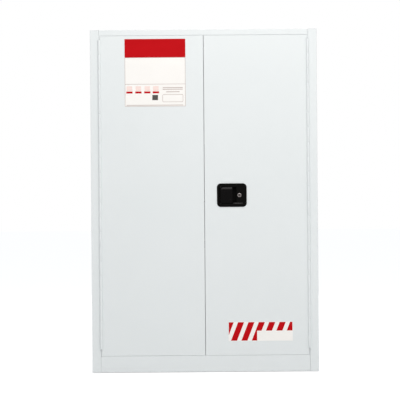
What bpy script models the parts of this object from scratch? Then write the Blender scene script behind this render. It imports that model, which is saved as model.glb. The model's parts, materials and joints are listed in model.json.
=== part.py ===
"""Double-door steel safety cabinet for toxic substances.

Metres, +Z up. The cabinet stands on z = 0 with its doors facing -Y, and the
origin lies under the middle of its outer box.
"""

import math

import bmesh
import bpy
from mathutils import Matrix, Vector

# Whole cabinet
CABINET_WIDTH = 1.090
CABINET_DEPTH = 0.460
CABINET_HEIGHT = 1.650
SHEET = 0.0012
AIR_GAP = 0.038
FIT = 0.0003
OVERRUN = 0.005
BEND_RADIUS = 0.0025
BEND_STEPS = 2
ROUND_SHARE = 0.5          # bevel profile of a true arc

# Frame around the doors
STILE_WIDTH = 0.0425
HEADER_HEIGHT = 0.028
SKIRT_CLEARANCE = 0.004
SILL_HEIGHT = 0.078
SILL_LIP = 0.015
STOP_WIDTH = 0.015
REAR_FLANGE = 0.015
LINER_FLANGE = 0.014
BASE_HEIGHT = 0.040
SUMP_DEPTH = 0.050

# Doors
DOOR_THICKNESS = 0.042
DOOR_REST_GAP = 0.002
DOOR_EDGE_GAP = 0.0004
SEAM = 0.0018
FREE_EDGE_LEAN = 0.0012
LINER_EDGE = 0.020
DOOR_EDGE_RADIUS = 0.0016

# Piano hinges
KNUCKLE_RADIUS = 0.006
KNUCKLE_BORE = 0.0025
KNUCKLE_SPACE = 0.0006
KNUCKLE_SIDES = 10
KNUCKLE_PITCH = 0.0708
PIN_RADIUS = 0.0020
PIN_HEAD = 0.0035
PIN_HEAD_HEIGHT = 0.0012
PIN_SIDES = 8
LEAF = 0.0015
LEAF_CLEARANCE = 0.0004
LEAF_DEPTH = 0.030
LEAF_ROOT = 0.004
HINGE_BOTTOM_MARGIN = 0.0326
HINGE_TOP_MARGIN = 0.0186

# Vents through both walls
VENT_BORE = 0.025
VENT_WALL = 0.003
VENT_COLLAR = 0.040
VENT_COLLAR_THICKNESS = 0.0035
VENT_LOW_HEIGHT = 0.185
VENT_HIGH_DROP = 0.150
VENT_SIDES = 20
ARRESTER_THICKNESS = 0.006
ARRESTER_HOLE = 0.0055
ARRESTER_RING = 0.015
ARRESTER_RING_HOLES = 6
ARRESTER_HOLE_SIDES = 6
ARRESTER_INSET = 0.004
CAP_RADIUS = 0.036
CAP_THICKNESS = 0.006
CAP_PLUG = 0.012
CAP_PLUG_WALL = 0.0020
CAP_THREAD_PLAY = 0.0006
CAP_SOCKET = 0.007
CAP_SOCKET_DEPTH = 0.004

# Earthing stud
STUD_RADIUS = 0.004
STUD_LENGTH = 0.024
STUD_REACH = 0.009
STUD_NUT = 0.008
STUD_NUT_THICKNESS = 0.0055
STUD_HEIGHT = 0.120
STUD_REAR_INSET = 0.060
HEX_SIDES = 6

# Levelling feet
FOOT_INSET = 0.060
FOOT_PAD_RADIUS = 0.019
FOOT_PAD_HEIGHT = 0.006
FOOT_PAD_TAPER = 0.003
FOOT_SCREW = 0.005
FOOT_SCREW_TOP = 0.062
FOOT_NUT = 0.010
FOOT_NUT_HEIGHT = 0.009
FOOT_BORE = 0.0058
FOOT_SIDES = 12

# Shelving
STANDARD_WIDTH = 0.022
STANDARD_DEPTH = 0.009
STANDARD_INSET = 0.045
STANDARD_END_GAP = 0.025
SLOT_PITCH = 0.080
SLOT_WIDTH = 0.0110
SLOT_HEIGHT = 0.0060
CLIP_SHEET = 0.002
CLIP_BEND = 0.0022
CLIP_WIDTH = 0.010
CLIP_HOOK = 0.007
CLIP_LEDGE = 0.018
CLIP_LIP = 0.006
SHELF_LEVEL_SHARES = (0.32, 0.67)
SHELF_END_GAP = 0.003
SHELF_FRONT_GAP = 0.016
SHELF_RIM = 0.024

# Recessed paddle handle in the right door
HANDLE_LEFT = 0.060
HANDLE_WIDTH = 0.143
HANDLE_HEIGHT = 0.113
HANDLE_Z = 0.852
HANDLE_CORNER = 0.019
HANDLE_CORNER_STEPS = 5
HANDLE_BORDER = 0.011
HANDLE_FACE_SINK = 0.0008
HANDLE_FLANGE = 0.003
HANDLE_WALL = 0.002
HANDLE_CUT_MARGIN = 0.002
POCKET_INSET = 0.012
POCKET_WIDTH = 0.082
POCKET_HEIGHT = 0.080
POCKET_DEPTH = 0.022

# Paddle
PADDLE_PIN_INSET = 0.007
PADDLE_PIN_DEPTH = 0.004
PADDLE_PIN_RADIUS = 0.002
PADDLE_PIN_BORE = 0.0025
PADDLE_EYE = 0.005
PADDLE_WIDTH = 0.057
PADDLE_SHEET = 0.0032
PADDLE_LIP = 0.013
PADDLE_BEND = 0.004
PADDLE_END_GAP = 0.002
PADDLE_SINK = 0.0006
TAIL_WIDTH = 0.0045
TAIL_REACH = 0.0185
TAIL_HEIGHT = 0.014
TAIL_DROP = 0.018

# Key lock beside the paddle
LOCK_INSET = 0.108
LOCK_BARREL = 0.0082
LOCK_FLANGE = 0.0092
LOCK_FLANGE_PROUD = 0.0022
LOCK_BORE = 0.0061
LOCK_DEPTH = 0.018
LOCK_RECESS = 0.0185
LOCK_RECESS_DEPTH = 0.0012
LOCK_BOSS = 0.014
LOCK_SIDES = 16
KEYWAY_WIDTH = 0.0012
KEYWAY_HEIGHT = 0.0085
KEYWAY_DEPTH = 0.005
TONGUE_LENGTH = 0.0105
TONGUE_WIDTH = 0.006
TONGUE_THICKNESS = 0.002

# Three-point latch behind the handle
CAM_INSET = 0.043
CAM_RADIUS = 0.037
CAM_THICKNESS = 0.0025
CAM_FRONT = 0.0262
CAM_SIDES = 24
CAM_BORE = 0.0045
CAM_PIN_RADIUS = 0.003
CAM_PIN_ARM = 0.030
CAM_PIN_REACH = 0.009
CAM_DRIVE_ARM = 0.015
CAM_DRIVE_REACH = 0.0065
CAM_TURN_DEGREES = 25
SPINDLE_RADIUS = 0.004
SPINDLE_HEAD = 0.0065
SPINDLE_HEAD_THICKNESS = 0.0016
ROD_RADIUS = 0.004
ROD_DEPTH = 0.034
ROD_SIDES = 10
ROD_BORE = 0.005
ROD_TIP = 0.0025
ROD_TIP_LENGTH = 0.003
ROD_THROW = 0.009
EYE_THICKNESS = 0.003
EYE_LENGTH = 0.022
EYE_BREADTH = 0.017
EYE_SLOT_PLAY = 0.0006
EYE_SLOT_END = 0.0012
KEEPER_WIDTH = 0.030
KEEPER_DEPTH = 0.015
KEEPER_THICKNESS = 0.003

# Places worked out from the sizes above
HALF_WIDTH = CABINET_WIDTH / 2
FRONT_PROUD = 2 * KNUCKLE_RADIUS + FIT
FRONT_Y = (FRONT_PROUD - CABINET_DEPTH) / 2
BACK_Y = FRONT_Y + CABINET_DEPTH
OPENING_HALF = HALF_WIDTH - STILE_WIDTH
SILL_TOP = SKIRT_CLEARANCE + SILL_HEIGHT
HEADER_BOTTOM = CABINET_HEIGHT - HEADER_HEIGHT
STOP_Y = FRONT_Y + DOOR_THICKNESS + DOOR_REST_GAP
CROSS_STOP_Y = STOP_Y + SHEET + FIT
LINER_FRONT_Y = CROSS_STOP_Y + 2 * SHEET + FIT
BACK_SHEET_Y = BACK_Y - SHEET - FIT
LINER_BACK_Y = BACK_SHEET_Y - 2 * SHEET - AIR_GAP - FIT
LINER_HALF = HALF_WIDTH - 2 * SHEET - AIR_GAP
SHELL_TOP = CABINET_HEIGHT - SHEET - FIT
LINER_TOP = CABINET_HEIGHT - 2 * SHEET - AIR_GAP
SUMP_BOTTOM = BASE_HEIGHT + SHEET + AIR_GAP
SUMP_RIM = SUMP_BOTTOM + SHEET + SUMP_DEPTH
HINGE_GAP = 2 * (LEAF + FIT) + LEAF_CLEARANCE
DOOR_OUTER = OPENING_HALF - HINGE_GAP
DOOR_INNER = SEAM / 2
DOOR_BOTTOM = SILL_TOP + DOOR_EDGE_GAP
DOOR_TOP = HEADER_BOTTOM - DOOR_EDGE_GAP
DOOR_BACK_Y = FRONT_Y + DOOR_THICKNESS
HINGE_X = OPENING_HALF - HINGE_GAP / 2
HINGE_Y = FRONT_Y - KNUCKLE_RADIUS - FIT
HINGE_BOTTOM = DOOR_BOTTOM + HINGE_BOTTOM_MARGIN
HINGE_TOP = DOOR_TOP - HINGE_TOP_MARGIN
VENT_Y = (LINER_FRONT_Y + LINER_BACK_Y) / 2
STANDARD_FACE = LINER_HALF - STANDARD_DEPTH
STANDARD_TOP = LINER_TOP - STANDARD_END_GAP
FIRST_SLOT = SUMP_RIM + STANDARD_END_GAP + SLOT_PITCH / 2
SLOT_COUNT = round((STANDARD_TOP - FIRST_SLOT) / SLOT_PITCH)
SHELF_SLOTS = [int(SLOT_COUNT * share) for share in SHELF_LEVEL_SHARES]
HANDLE_FRONT_Y = FRONT_Y - FIT - HANDLE_FLANGE
POCKET_LEFT = HANDLE_LEFT + POCKET_INSET
POCKET_BACK_Y = FRONT_Y + POCKET_DEPTH
PADDLE_PIN_X = POCKET_LEFT + PADDLE_PIN_INSET
PADDLE_PIN_Y = FRONT_Y + PADDLE_PIN_DEPTH
LOCK_X = HANDLE_LEFT + LOCK_INSET
CAM_X = HANDLE_LEFT + CAM_INSET
CAM_Y = FRONT_Y + CAM_FRONT
CAM_BACK_Y = CAM_Y + CAM_THICKNESS
ROD_Y = FRONT_Y + ROD_DEPTH
CAM_SIDE_TRAVEL = CAM_PIN_ARM * (1 - math.cos(math.radians(CAM_TURN_DEGREES)))

# Finishes: colour, roughness, metallic
POWDER_COAT = ((0.83, 0.85, 0.85), 0.42, 0.0)
LINER_COAT = ((0.80, 0.82, 0.82), 0.50, 0.0)
ZINC = ((0.62, 0.63, 0.64), 0.38, 0.9)
STAINLESS = ((0.55, 0.56, 0.57), 0.30, 1.0)
CHROME = ((0.70, 0.71, 0.72), 0.12, 1.0)
BLACK_PLASTIC = ((0.018, 0.018, 0.020), 0.45, 0.0)
DARK_MESH = ((0.10, 0.10, 0.11), 0.55, 0.8)


def clear_scene():
    for old in list(bpy.data.objects):
        bpy.data.objects.remove(old, do_unlink=True)


def new_collection(name):
    collection = bpy.data.collections.new(name)
    bpy.context.scene.collection.children.link(collection)
    return collection


clear_scene()
parts = new_collection("toxic_substance_cabinet")
cutters = new_collection("cutters")


# Basic makers

def finish_object(name, bm, finish):
    """Turn a bmesh into a named object: a part with a finish, or a cutter."""
    mesh = bpy.data.meshes.new(name)
    bm.to_mesh(mesh)
    bm.free()
    made = bpy.data.objects.new(name, mesh)
    if finish is None:
        cutters.objects.link(made)
        made.hide_render = True
        made.display_type = 'WIRE'
        return made
    parts.objects.link(made)
    colour, roughness, metallic = finish
    paint = bpy.data.materials.new(name + "_finish")
    paint.use_nodes = True
    shader = paint.node_tree.nodes["Principled BSDF"]
    shader.inputs["Base Color"].default_value = (*colour, 1)
    shader.inputs["Roughness"].default_value = roughness
    shader.inputs["Metallic"].default_value = metallic
    mesh.materials.append(paint)
    return made


def add_block(bm, low, high):
    low = Vector(low)
    high = Vector(high)
    made = bmesh.ops.create_cube(bm, size=1)
    size = Matrix.Diagonal(high - low).to_4x4()
    place = Matrix.Translation((low + high) / 2) @ size
    bmesh.ops.transform(bm, matrix=place, verts=made["verts"])
    return made["verts"]


def blocks(name, corners, finish=None):
    """One object of separate boxes, given as pairs of corners."""
    bm = bmesh.new()
    for low, high in corners:
        add_block(bm, low, high)
    return finish_object(name, bm, finish)


def block(name, low, high, finish=None):
    return blocks(name, [(low, high)], finish)


def mirrored_span(side, inner, outer):
    """Low and high x of a stretch that lies on the left (-1) or right (1)."""
    return tuple(sorted((side * inner, side * outer)))


def turn_to(axis):
    """Matrix that turns +Z to the given axis."""
    return Vector((0, 0, 1)).rotation_difference(Vector(axis)).to_matrix().to_4x4()


def rods(name, places, radius, length, axis, sides, finish=None):
    """One object of equal cylinders, each starting at a place along axis."""
    bm = bmesh.new()
    for start in places:
        middle = Vector(start) + Vector(axis) * length / 2
        bmesh.ops.create_cone(
            bm, cap_ends=True, segments=sides, radius1=radius, radius2=radius,
            depth=length, matrix=Matrix.Translation(middle) @ turn_to(axis))
    made = finish_object(name, bm, finish)
    smooth(made)
    return made


def rod(name, start, radius, length, axis, sides, finish=None):
    return rods(name, [start], radius, length, axis, sides, finish)


def lathe(name, profile, start, axis, sides, finish=None):
    """Spin (radius, height) points round an axis that leaves start."""
    bm = bmesh.new()
    corners = [bm.verts.new((radius, 0, height)) for radius, height in profile]
    edges = [bm.edges.new(pair) for pair in zip(corners, corners[1:])]
    bmesh.ops.spin(bm, geom=corners + edges, axis=(0, 0, 1), cent=(0, 0, 0),
                   angle=math.tau, steps=sides, use_merge=True)
    bmesh.ops.remove_doubles(bm, verts=bm.verts, dist=FIT / 10)
    bmesh.ops.recalc_face_normals(bm, faces=bm.faces)
    bmesh.ops.transform(bm, matrix=Matrix.Translation(start) @ turn_to(axis),
                        verts=bm.verts)
    made = finish_object(name, bm, finish)
    smooth(made)
    return made


def smooth(made):
    made.data.shade_smooth()
    made.data.set_sharp_from_angle(angle=math.radians(40))


def thicken(made, thickness, offset):
    wall = made.modifiers.new("wall", 'SOLIDIFY')
    wall.thickness = thickness
    wall.offset = offset
    wall.use_even_offset = True


def pan(name, low, high, open_side, finish, rounded=0):
    """A five-sided tray of sheet metal, open towards open_side."""
    bm = bmesh.new()
    add_block(bm, low, high)
    bm.normal_update()
    opening = Vector(open_side)
    mouth = [face for face in bm.faces if round(face.normal.dot(opening)) == 1]
    floor = [face for face in bm.faces if round(face.normal.dot(opening)) == -1]
    bmesh.ops.delete(bm, geom=mouth, context='FACES_ONLY')
    if rounded:
        bmesh.ops.bevel(bm, geom=list(floor[0].edges), offset=rounded,
                        offset_type='OFFSET', segments=BEND_STEPS, profile=ROUND_SHARE,
                        affect='EDGES')
    made = finish_object(name, bm, finish)
    thicken(made, SHEET, -1)
    return made


def rounded_path(path, radius):
    """An open path whose inner corners are arcs of the given radius."""
    points = [Vector(path[0])]
    for before, corner, after in zip(path, path[1:], path[2:]):
        corner = Vector(corner)
        back = (Vector(before) - corner).normalized()
        ahead = (Vector(after) - corner).normalized()
        half_turn = back.angle(ahead) / 2
        centre = corner + (back + ahead).normalized() * radius / math.sin(half_turn)
        reach = radius / math.tan(half_turn)
        arm = corner + back * reach - centre
        sweep = arm.angle_signed(corner + ahead * reach - centre)
        for step in range(BEND_STEPS + 1):
            turned = arm.copy()
            turned.rotate(Matrix.Rotation(-sweep * step / BEND_STEPS, 2))
            points.append(centre + turned)
    points.append(Vector(path[-1]))
    return points


def folded_sheet(name, path, axis, start, end, hand, finish,
                 thickness=SHEET, radius=BEND_RADIUS):
    """A strip of sheet folded along a path and drawn out along an axis.

    hand is 1 when the metal lies on the left of the path, -1 on the right.
    The path is in (x, y) for axis Z, (y, z) for X and (z, x) for Y.
    """
    along = 'XYZ'.index(axis)
    first = (along + 1) % 3
    second = (along + 2) % 3
    bm = bmesh.new()
    corners = []
    for point in rounded_path(path, radius):
        place = [0, 0, 0]
        place[first] = point[0]
        place[second] = point[1]
        place[along] = start
        corners.append(bm.verts.new(place))
    edges = [bm.edges.new(pair) for pair in zip(corners, corners[1:])]
    drawn = bmesh.ops.extrude_edge_only(bm, edges=edges)["geom"]
    far = [item for item in drawn if isinstance(item, bmesh.types.BMVert)]
    step = Vector((0, 0, 0))
    step[along] = end - start
    bmesh.ops.translate(bm, verts=far, vec=step)
    bm.normal_update()
    travel = Vector((0, 0, 0))
    travel[first] = path[1][0] - path[0][0]
    travel[second] = path[1][1] - path[0][1]
    out = Vector((0, 0, 0))
    out[along] = 1
    right_hand = travel.cross(out)
    bm.faces.ensure_lookup_table()
    leading = min(bm.faces, key=lambda face: (face.calc_center_median()
                                              - corners[0].co).length)
    if leading.normal.dot(right_hand) < 0:
        bmesh.ops.reverse_faces(bm, faces=bm.faces)
    made = finish_object(name, bm, finish)
    thicken(made, thickness, -hand)
    return made


def cut(target, cutter, operation='DIFFERENCE'):
    change = target.modifiers.new(cutter.name, 'BOOLEAN')
    change.operation = operation
    change.solver = 'EXACT'
    change.object = cutter


def join(target, extra):
    cut(target, extra, 'UNION')


def pivot(name, place, children):
    """An empty on a joint's axis that carries the pieces that move on it."""
    holder = bpy.data.objects.new(name, None)
    holder.location = place
    parts.objects.link(holder)
    for child in children:
        child.parent = holder
        child.matrix_parent_inverse = Matrix.Translation(place).inverted()
    return holder


# Outer shell

def outer_side(name, side):
    path = [
        (side * (HALF_WIDTH - REAR_FLANGE), BACK_Y),
        (side * HALF_WIDTH, BACK_Y),
        (side * HALF_WIDTH, FRONT_Y),
        (side * OPENING_HALF, FRONT_Y),
        (side * OPENING_HALF, STOP_Y),
        (side * (OPENING_HALF - STOP_WIDTH), STOP_Y),
    ]
    made = folded_sheet(name, path, 'Z', SKIRT_CLEARANCE, SHELL_TOP, -side,
                        POWDER_COAT)
    low_x, high_x = mirrored_span(side, OPENING_HALF - STOP_WIDTH - OVERRUN,
                                  OPENING_HALF)
    notch_front = STOP_Y - OVERRUN
    notch_back = STOP_Y + OVERRUN
    cut(made, blocks(name + "_stop_notches", [
        ((low_x, notch_front, SKIRT_CLEARANCE - OVERRUN),
         (high_x, notch_back, SILL_TOP + BEND_RADIUS + FIT)),
        ((low_x, notch_front, HEADER_BOTTOM - BEND_RADIUS - FIT),
         (high_x, notch_back, SHELL_TOP + OVERRUN)),
    ]))
    return made


def outer_top():
    path = [
        (CROSS_STOP_Y, HEADER_BOTTOM - STOP_WIDTH),
        (CROSS_STOP_Y, HEADER_BOTTOM),
        (FRONT_Y, HEADER_BOTTOM),
        (FRONT_Y, CABINET_HEIGHT),
        (BACK_Y, CABINET_HEIGHT),
    ]
    made = folded_sheet("outer_top", path, 'X', -HALF_WIDTH, HALF_WIDTH, -1,
                        POWDER_COAT)
    notches = []
    for side in (-1, 1):
        low_x, high_x = mirrored_span(side, OPENING_HALF - FIT,
                                      HALF_WIDTH + OVERRUN)
        notches.append(((low_x, FRONT_Y - OVERRUN,
                         HEADER_BOTTOM - STOP_WIDTH - OVERRUN),
                        (high_x, CROSS_STOP_Y + OVERRUN, SHELL_TOP + FIT)))
    cut(made, blocks("header_notches", notches))
    return made


def sill():
    path = [
        (FRONT_Y + SILL_LIP, SKIRT_CLEARANCE),
        (FRONT_Y, SKIRT_CLEARANCE),
        (FRONT_Y, SILL_TOP),
        (CROSS_STOP_Y, SILL_TOP),
        (CROSS_STOP_Y, SILL_TOP + STOP_WIDTH),
    ]
    edge = OPENING_HALF - FIT
    return folded_sheet("sill", path, 'X', -edge, edge, -1, POWDER_COAT)


def outer_back():
    edge = HALF_WIDTH - BEND_RADIUS - FIT
    return block("outer_back", (-edge, BACK_SHEET_Y - SHEET, SKIRT_CLEARANCE),
                 (edge, BACK_SHEET_Y, SHELL_TOP), POWDER_COAT)


def foot_places():
    back = BACK_SHEET_Y - FOOT_INSET
    front = CROSS_STOP_Y + FOOT_INSET
    across = HALF_WIDTH - FOOT_INSET
    return [(-across, front), (across, front), (-across, back), (across, back)]


def base_panel():
    edge = HALF_WIDTH - SHEET - FIT
    made = block("base_panel", (-edge, CROSS_STOP_Y + SHEET + FIT, BASE_HEIGHT),
                 (edge, BACK_SHEET_Y - SHEET - FIT, BASE_HEIGHT + SHEET),
                 POWDER_COAT)
    bottom = BASE_HEIGHT - FOOT_NUT_HEIGHT
    nuts = [(x, y, bottom) for x, y in foot_places()]
    height = FOOT_NUT_HEIGHT + SHEET / 2
    join(made, rods("base_nuts", nuts, FOOT_NUT, height, (0, 0, 1), HEX_SIDES))
    bores = [(x, y, bottom - OVERRUN) for x, y in foot_places()]
    cut(made, rods("base_nut_bores", bores, FOOT_BORE,
                   FOOT_NUT_HEIGHT + SHEET + 2 * OVERRUN, (0, 0, 1), FOOT_SIDES))
    return made


def foot(name, x, y):
    profile = [
        (0, 0),
        (FOOT_PAD_RADIUS, 0),
        (FOOT_PAD_RADIUS, FOOT_PAD_HEIGHT - FOOT_PAD_TAPER),
        (FOOT_PAD_RADIUS - FOOT_PAD_TAPER, FOOT_PAD_HEIGHT),
        (FOOT_SCREW, FOOT_PAD_HEIGHT),
        (FOOT_SCREW, FOOT_SCREW_TOP),
        (0, FOOT_SCREW_TOP),
    ]
    return lathe(name, profile, (x, y, 0), (0, 0, 1), FOOT_SIDES, ZINC)


# Inner box

def inner_side(name, side):
    path = [
        (side * (LINER_HALF - LINER_FLANGE), LINER_FRONT_Y),
        (side * LINER_HALF, LINER_FRONT_Y),
        (side * LINER_HALF, LINER_BACK_Y),
    ]
    return folded_sheet(name, path, 'Z', SUMP_BOTTOM, LINER_TOP - FIT, -side,
                        LINER_COAT)


def inner_panels():
    edge = LINER_HALF + SHEET
    front = LINER_FRONT_Y - SHEET
    back = LINER_BACK_Y + FIT + SHEET
    block("inner_back", (-edge, LINER_BACK_Y + FIT, SUMP_BOTTOM),
          (edge, back, LINER_TOP - FIT), LINER_COAT)
    block("inner_top", (-edge, front, LINER_TOP), (edge, back, LINER_TOP + SHEET),
          LINER_COAT)
    sump_front = LINER_FRONT_Y + BEND_RADIUS + FIT
    pan("sump_pan", (FIT - LINER_HALF, sump_front, SUMP_BOTTOM),
        (LINER_HALF - FIT, LINER_BACK_Y, SUMP_RIM), (0, 0, 1), LINER_COAT)


# Vents through both walls

def vent(label, side, height, outer_wall, inner_wall):
    out = (side, 0, 0)
    outer_face = side * HALF_WIDTH
    tube_length = 2 * SHEET + AIR_GAP + ARRESTER_INSET
    inner_end = (outer_face - side * tube_length, VENT_Y, height)
    hole_radius = VENT_BORE + VENT_WALL + FIT
    for wall in (outer_wall, inner_wall):
        cut(wall, rod(wall.name + "_vent_hole", inner_end, hole_radius,
                      tube_length + OVERRUN, out, VENT_SIDES))
    tube = lathe("vent_tube_" + label, [
        (VENT_BORE, 0),
        (VENT_BORE + VENT_WALL, 0),
        (VENT_BORE + VENT_WALL, tube_length + FIT),
        (VENT_COLLAR, tube_length + FIT),
        (VENT_COLLAR, tube_length + FIT + VENT_COLLAR_THICKNESS),
        (VENT_BORE, tube_length + FIT + VENT_COLLAR_THICKNESS),
        (VENT_BORE, 0),
    ], inner_end, out, VENT_SIDES, ZINC)
    disc_start = Vector(inner_end) + Vector(out) * ARRESTER_INSET
    disc = rod("flame_arrester_" + label, disc_start, VENT_BORE - FIT,
               ARRESTER_THICKNESS, out, VENT_SIDES, DARK_MESH)
    centres = [Vector((0, 0, 0))]
    for turn in range(ARRESTER_RING_HOLES):
        angle = math.tau * turn / ARRESTER_RING_HOLES
        centres.append(Vector((0, math.cos(angle), math.sin(angle)))
                       * ARRESTER_RING)
    starts = [disc_start + centre - Vector(out) * OVERRUN for centre in centres]
    cut(disc, rods(disc.name + "_holes", starts, ARRESTER_HOLE,
                   ARRESTER_THICKNESS + 2 * OVERRUN, out, ARRESTER_HOLE_SIDES))
    face = tube_length + 2 * FIT + VENT_COLLAR_THICKNESS
    socket = face + CAP_THICKNESS - CAP_SOCKET_DEPTH
    cap = lathe("vent_cap_" + label, [
        (0, face),
        (VENT_BORE - CAP_PLUG_WALL, face),
        (VENT_BORE - CAP_PLUG_WALL, face - CAP_PLUG),
        (VENT_BORE - CAP_THREAD_PLAY, face - CAP_PLUG),
        (VENT_BORE - CAP_THREAD_PLAY, face),
        (CAP_RADIUS, face),
        (CAP_RADIUS, face + CAP_THICKNESS),
        (CAP_SOCKET, face + CAP_THICKNESS),
        (CAP_SOCKET, socket),
        (0, socket),
    ], inner_end, out, VENT_SIDES, ZINC)
    pivot("vent_axis_" + label, (outer_face, VENT_Y, height), [cap])
    return tube


def ground_stud(wall):
    out = (1, 0, 0)
    y = BACK_SHEET_Y - STUD_REAR_INSET
    start = Vector((HALF_WIDTH + STUD_REACH - STUD_LENGTH, y, STUD_HEIGHT))
    made = rod("ground_stud", start, STUD_RADIUS, STUD_LENGTH, out, PIN_SIDES,
               STAINLESS)
    outer_nut = (HALF_WIDTH + FIT, y, STUD_HEIGHT)
    inner_nut = (HALF_WIDTH - SHEET - FIT - STUD_NUT_THICKNESS, y, STUD_HEIGHT)
    join(made, rods("ground_nuts", [outer_nut, inner_nut], STUD_NUT,
                    STUD_NUT_THICKNESS, out, HEX_SIDES))
    cut(wall, rod("ground_hole", (HALF_WIDTH - OVERRUN, y, STUD_HEIGHT),
                  STUD_RADIUS + 2 * FIT, 2 * OVERRUN, out, PIN_SIDES))
    return made


# Shelving

def slot_height(index):
    return FIRST_SLOT + index * SLOT_PITCH


def standard(name, side, y):
    near = side * (LINER_HALF - FIT)
    face = side * STANDARD_FACE
    path = [
        (near, y - side * STANDARD_WIDTH / 2),
        (face, y - side * STANDARD_WIDTH / 2),
        (face, y + side * STANDARD_WIDTH / 2),
        (near, y + side * STANDARD_WIDTH / 2),
    ]
    made = folded_sheet(name, path, 'Z', SUMP_RIM + STANDARD_END_GAP,
                        STANDARD_TOP, -1, ZINC)
    low_x, high_x = mirrored_span(side, STANDARD_FACE - OVERRUN,
                                  STANDARD_FACE + STANDARD_DEPTH / 2)
    slots = []
    for index in range(SLOT_COUNT):
        low_z = slot_height(index) - CLIP_SHEET / 2 - FIT
        slots.append(((low_x, y - SLOT_WIDTH / 2, low_z),
                      (high_x, y + SLOT_WIDTH / 2, low_z + SLOT_HEIGHT)))
    cut(made, blocks(name + "_slots", slots))
    return made


def clip_top(index):
    return slot_height(index) + CLIP_SHEET / 2


def shelf_clip(name, side, y, index):
    top = clip_top(index)
    hook = side * (STANDARD_FACE + SHEET + FIT)
    tip = side * (STANDARD_FACE - CLIP_LEDGE)
    path = [
        (top + CLIP_HOOK, hook),
        (top, hook),
        (top, tip),
        (top - CLIP_LIP, tip),
    ]
    return folded_sheet(name, path, 'Y', y - CLIP_WIDTH / 2, y + CLIP_WIDTH / 2,
                        -side, ZINC, CLIP_SHEET, CLIP_BEND)


def shelving():
    rows = (LINER_FRONT_Y + STANDARD_INSET, LINER_BACK_Y - STANDARD_INSET)
    names = {-1: "left", 1: "right"}
    ends = ("front", "rear")
    for side in (-1, 1):
        for end, y in zip(ends, rows):
            standard("standard_" + names[side] + "_" + end, side, y)
            for level, index in zip(("lower", "upper"), SHELF_SLOTS):
                name = "_".join((level, "clip", names[side], end))
                shelf_clip(name, side, y, index)
    edge = STANDARD_FACE - SHELF_END_GAP
    for level, index in zip(("lower", "upper"), SHELF_SLOTS):
        bottom = clip_top(index) + FIT
        shelf = pan(level + "_shelf",
                    (-edge, LINER_FRONT_Y + SHELF_FRONT_GAP, bottom),
                    (edge, LINER_BACK_Y - SHELF_FRONT_GAP, bottom + SHELF_RIM),
                    (0, 0, 1), ZINC)
        pivot(level + "_shelf_seat", (0, VENT_Y, bottom), [shelf])


# Piano hinges

def knuckle_spans(first):
    """Heights of every second knuckle, starting from the first or second."""
    length = HINGE_TOP - HINGE_BOTTOM
    count = 2 * round((length / KNUCKLE_PITCH - 1) / 2) + 1
    pitch = length / count
    spans = []
    for index in range(first, count, 2):
        low = HINGE_BOTTOM + index * pitch
        spans.append((low + KNUCKLE_SPACE / 2, low + pitch - KNUCKLE_SPACE / 2))
    return spans


def hinge_leaf(name, side, plate_inner, own_first, other_first):
    """One leaf, as tall as the door, with the knuckles that belong to it."""
    low_x, high_x = mirrored_span(side, plate_inner, plate_inner + LEAF)
    front = HINGE_Y + LEAF_ROOT
    made = block(name, (low_x, front, DOOR_BOTTOM),
                 (high_x, FRONT_Y + LEAF_DEPTH, DOOR_TOP), STAINLESS)
    clear_y = HINGE_Y + KNUCKLE_RADIUS + KNUCKLE_SPACE / 2
    cut(made, blocks(name + "_end_notches", [
        ((low_x - OVERRUN, front - OVERRUN, DOOR_BOTTOM - OVERRUN),
         (high_x + OVERRUN, clear_y, HINGE_BOTTOM + KNUCKLE_SPACE / 2)),
        ((low_x - OVERRUN, front - OVERRUN, HINGE_TOP - KNUCKLE_SPACE / 2),
         (high_x + OVERRUN, clear_y, DOOR_TOP + OVERRUN)),
    ]))
    notches = []
    for low, high in knuckle_spans(other_first):
        notches.append(((low_x - OVERRUN, front - OVERRUN, low - KNUCKLE_SPACE),
                        (high_x + OVERRUN, clear_y, high + KNUCKLE_SPACE)))
    cut(made, blocks(name + "_notches", notches))
    bm = bmesh.new()
    for low, high in knuckle_spans(own_first):
        middle = Vector((side * HINGE_X, HINGE_Y, (low + high) / 2))
        bmesh.ops.create_cone(bm, cap_ends=True, segments=KNUCKLE_SIDES,
                              radius1=KNUCKLE_RADIUS, radius2=KNUCKLE_RADIUS,
                              depth=high - low, matrix=Matrix.Translation(middle))
    join(made, finish_object(name + "_knuckles", bm, None))
    bore_start = (side * HINGE_X, HINGE_Y, HINGE_BOTTOM - OVERRUN)
    cut(made, rod(name + "_bore", bore_start, KNUCKLE_BORE,
                  HINGE_TOP - HINGE_BOTTOM + 2 * OVERRUN, (0, 0, 1), PIN_SIDES))
    return made


def hinge_pin(name, side):
    length = HINGE_TOP - HINGE_BOTTOM
    profile = [
        (0, -PIN_HEAD_HEIGHT),
        (PIN_HEAD, -PIN_HEAD_HEIGHT),
        (PIN_HEAD, 0),
        (PIN_RADIUS, 0),
        (PIN_RADIUS, length),
        (PIN_HEAD, length),
        (PIN_HEAD, length + PIN_HEAD_HEIGHT),
        (0, length + PIN_HEAD_HEIGHT),
    ]
    start = (side * HINGE_X, HINGE_Y, HINGE_BOTTOM)
    return lathe(name, profile, start, (0, 0, 1), PIN_SIDES, STAINLESS)


# Doors

def lean_free_edge(sheet, side):
    """Lean the free edge back, so that a door clears its closed neighbour."""
    for corner in sheet.data.vertices:
        if side * corner.co.x < DOOR_OUTER / 2:
            depth_share = (corner.co.y - FRONT_Y) / DOOR_THICKNESS
            corner.co.x += side * FREE_EDGE_LEAN * depth_share


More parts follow.
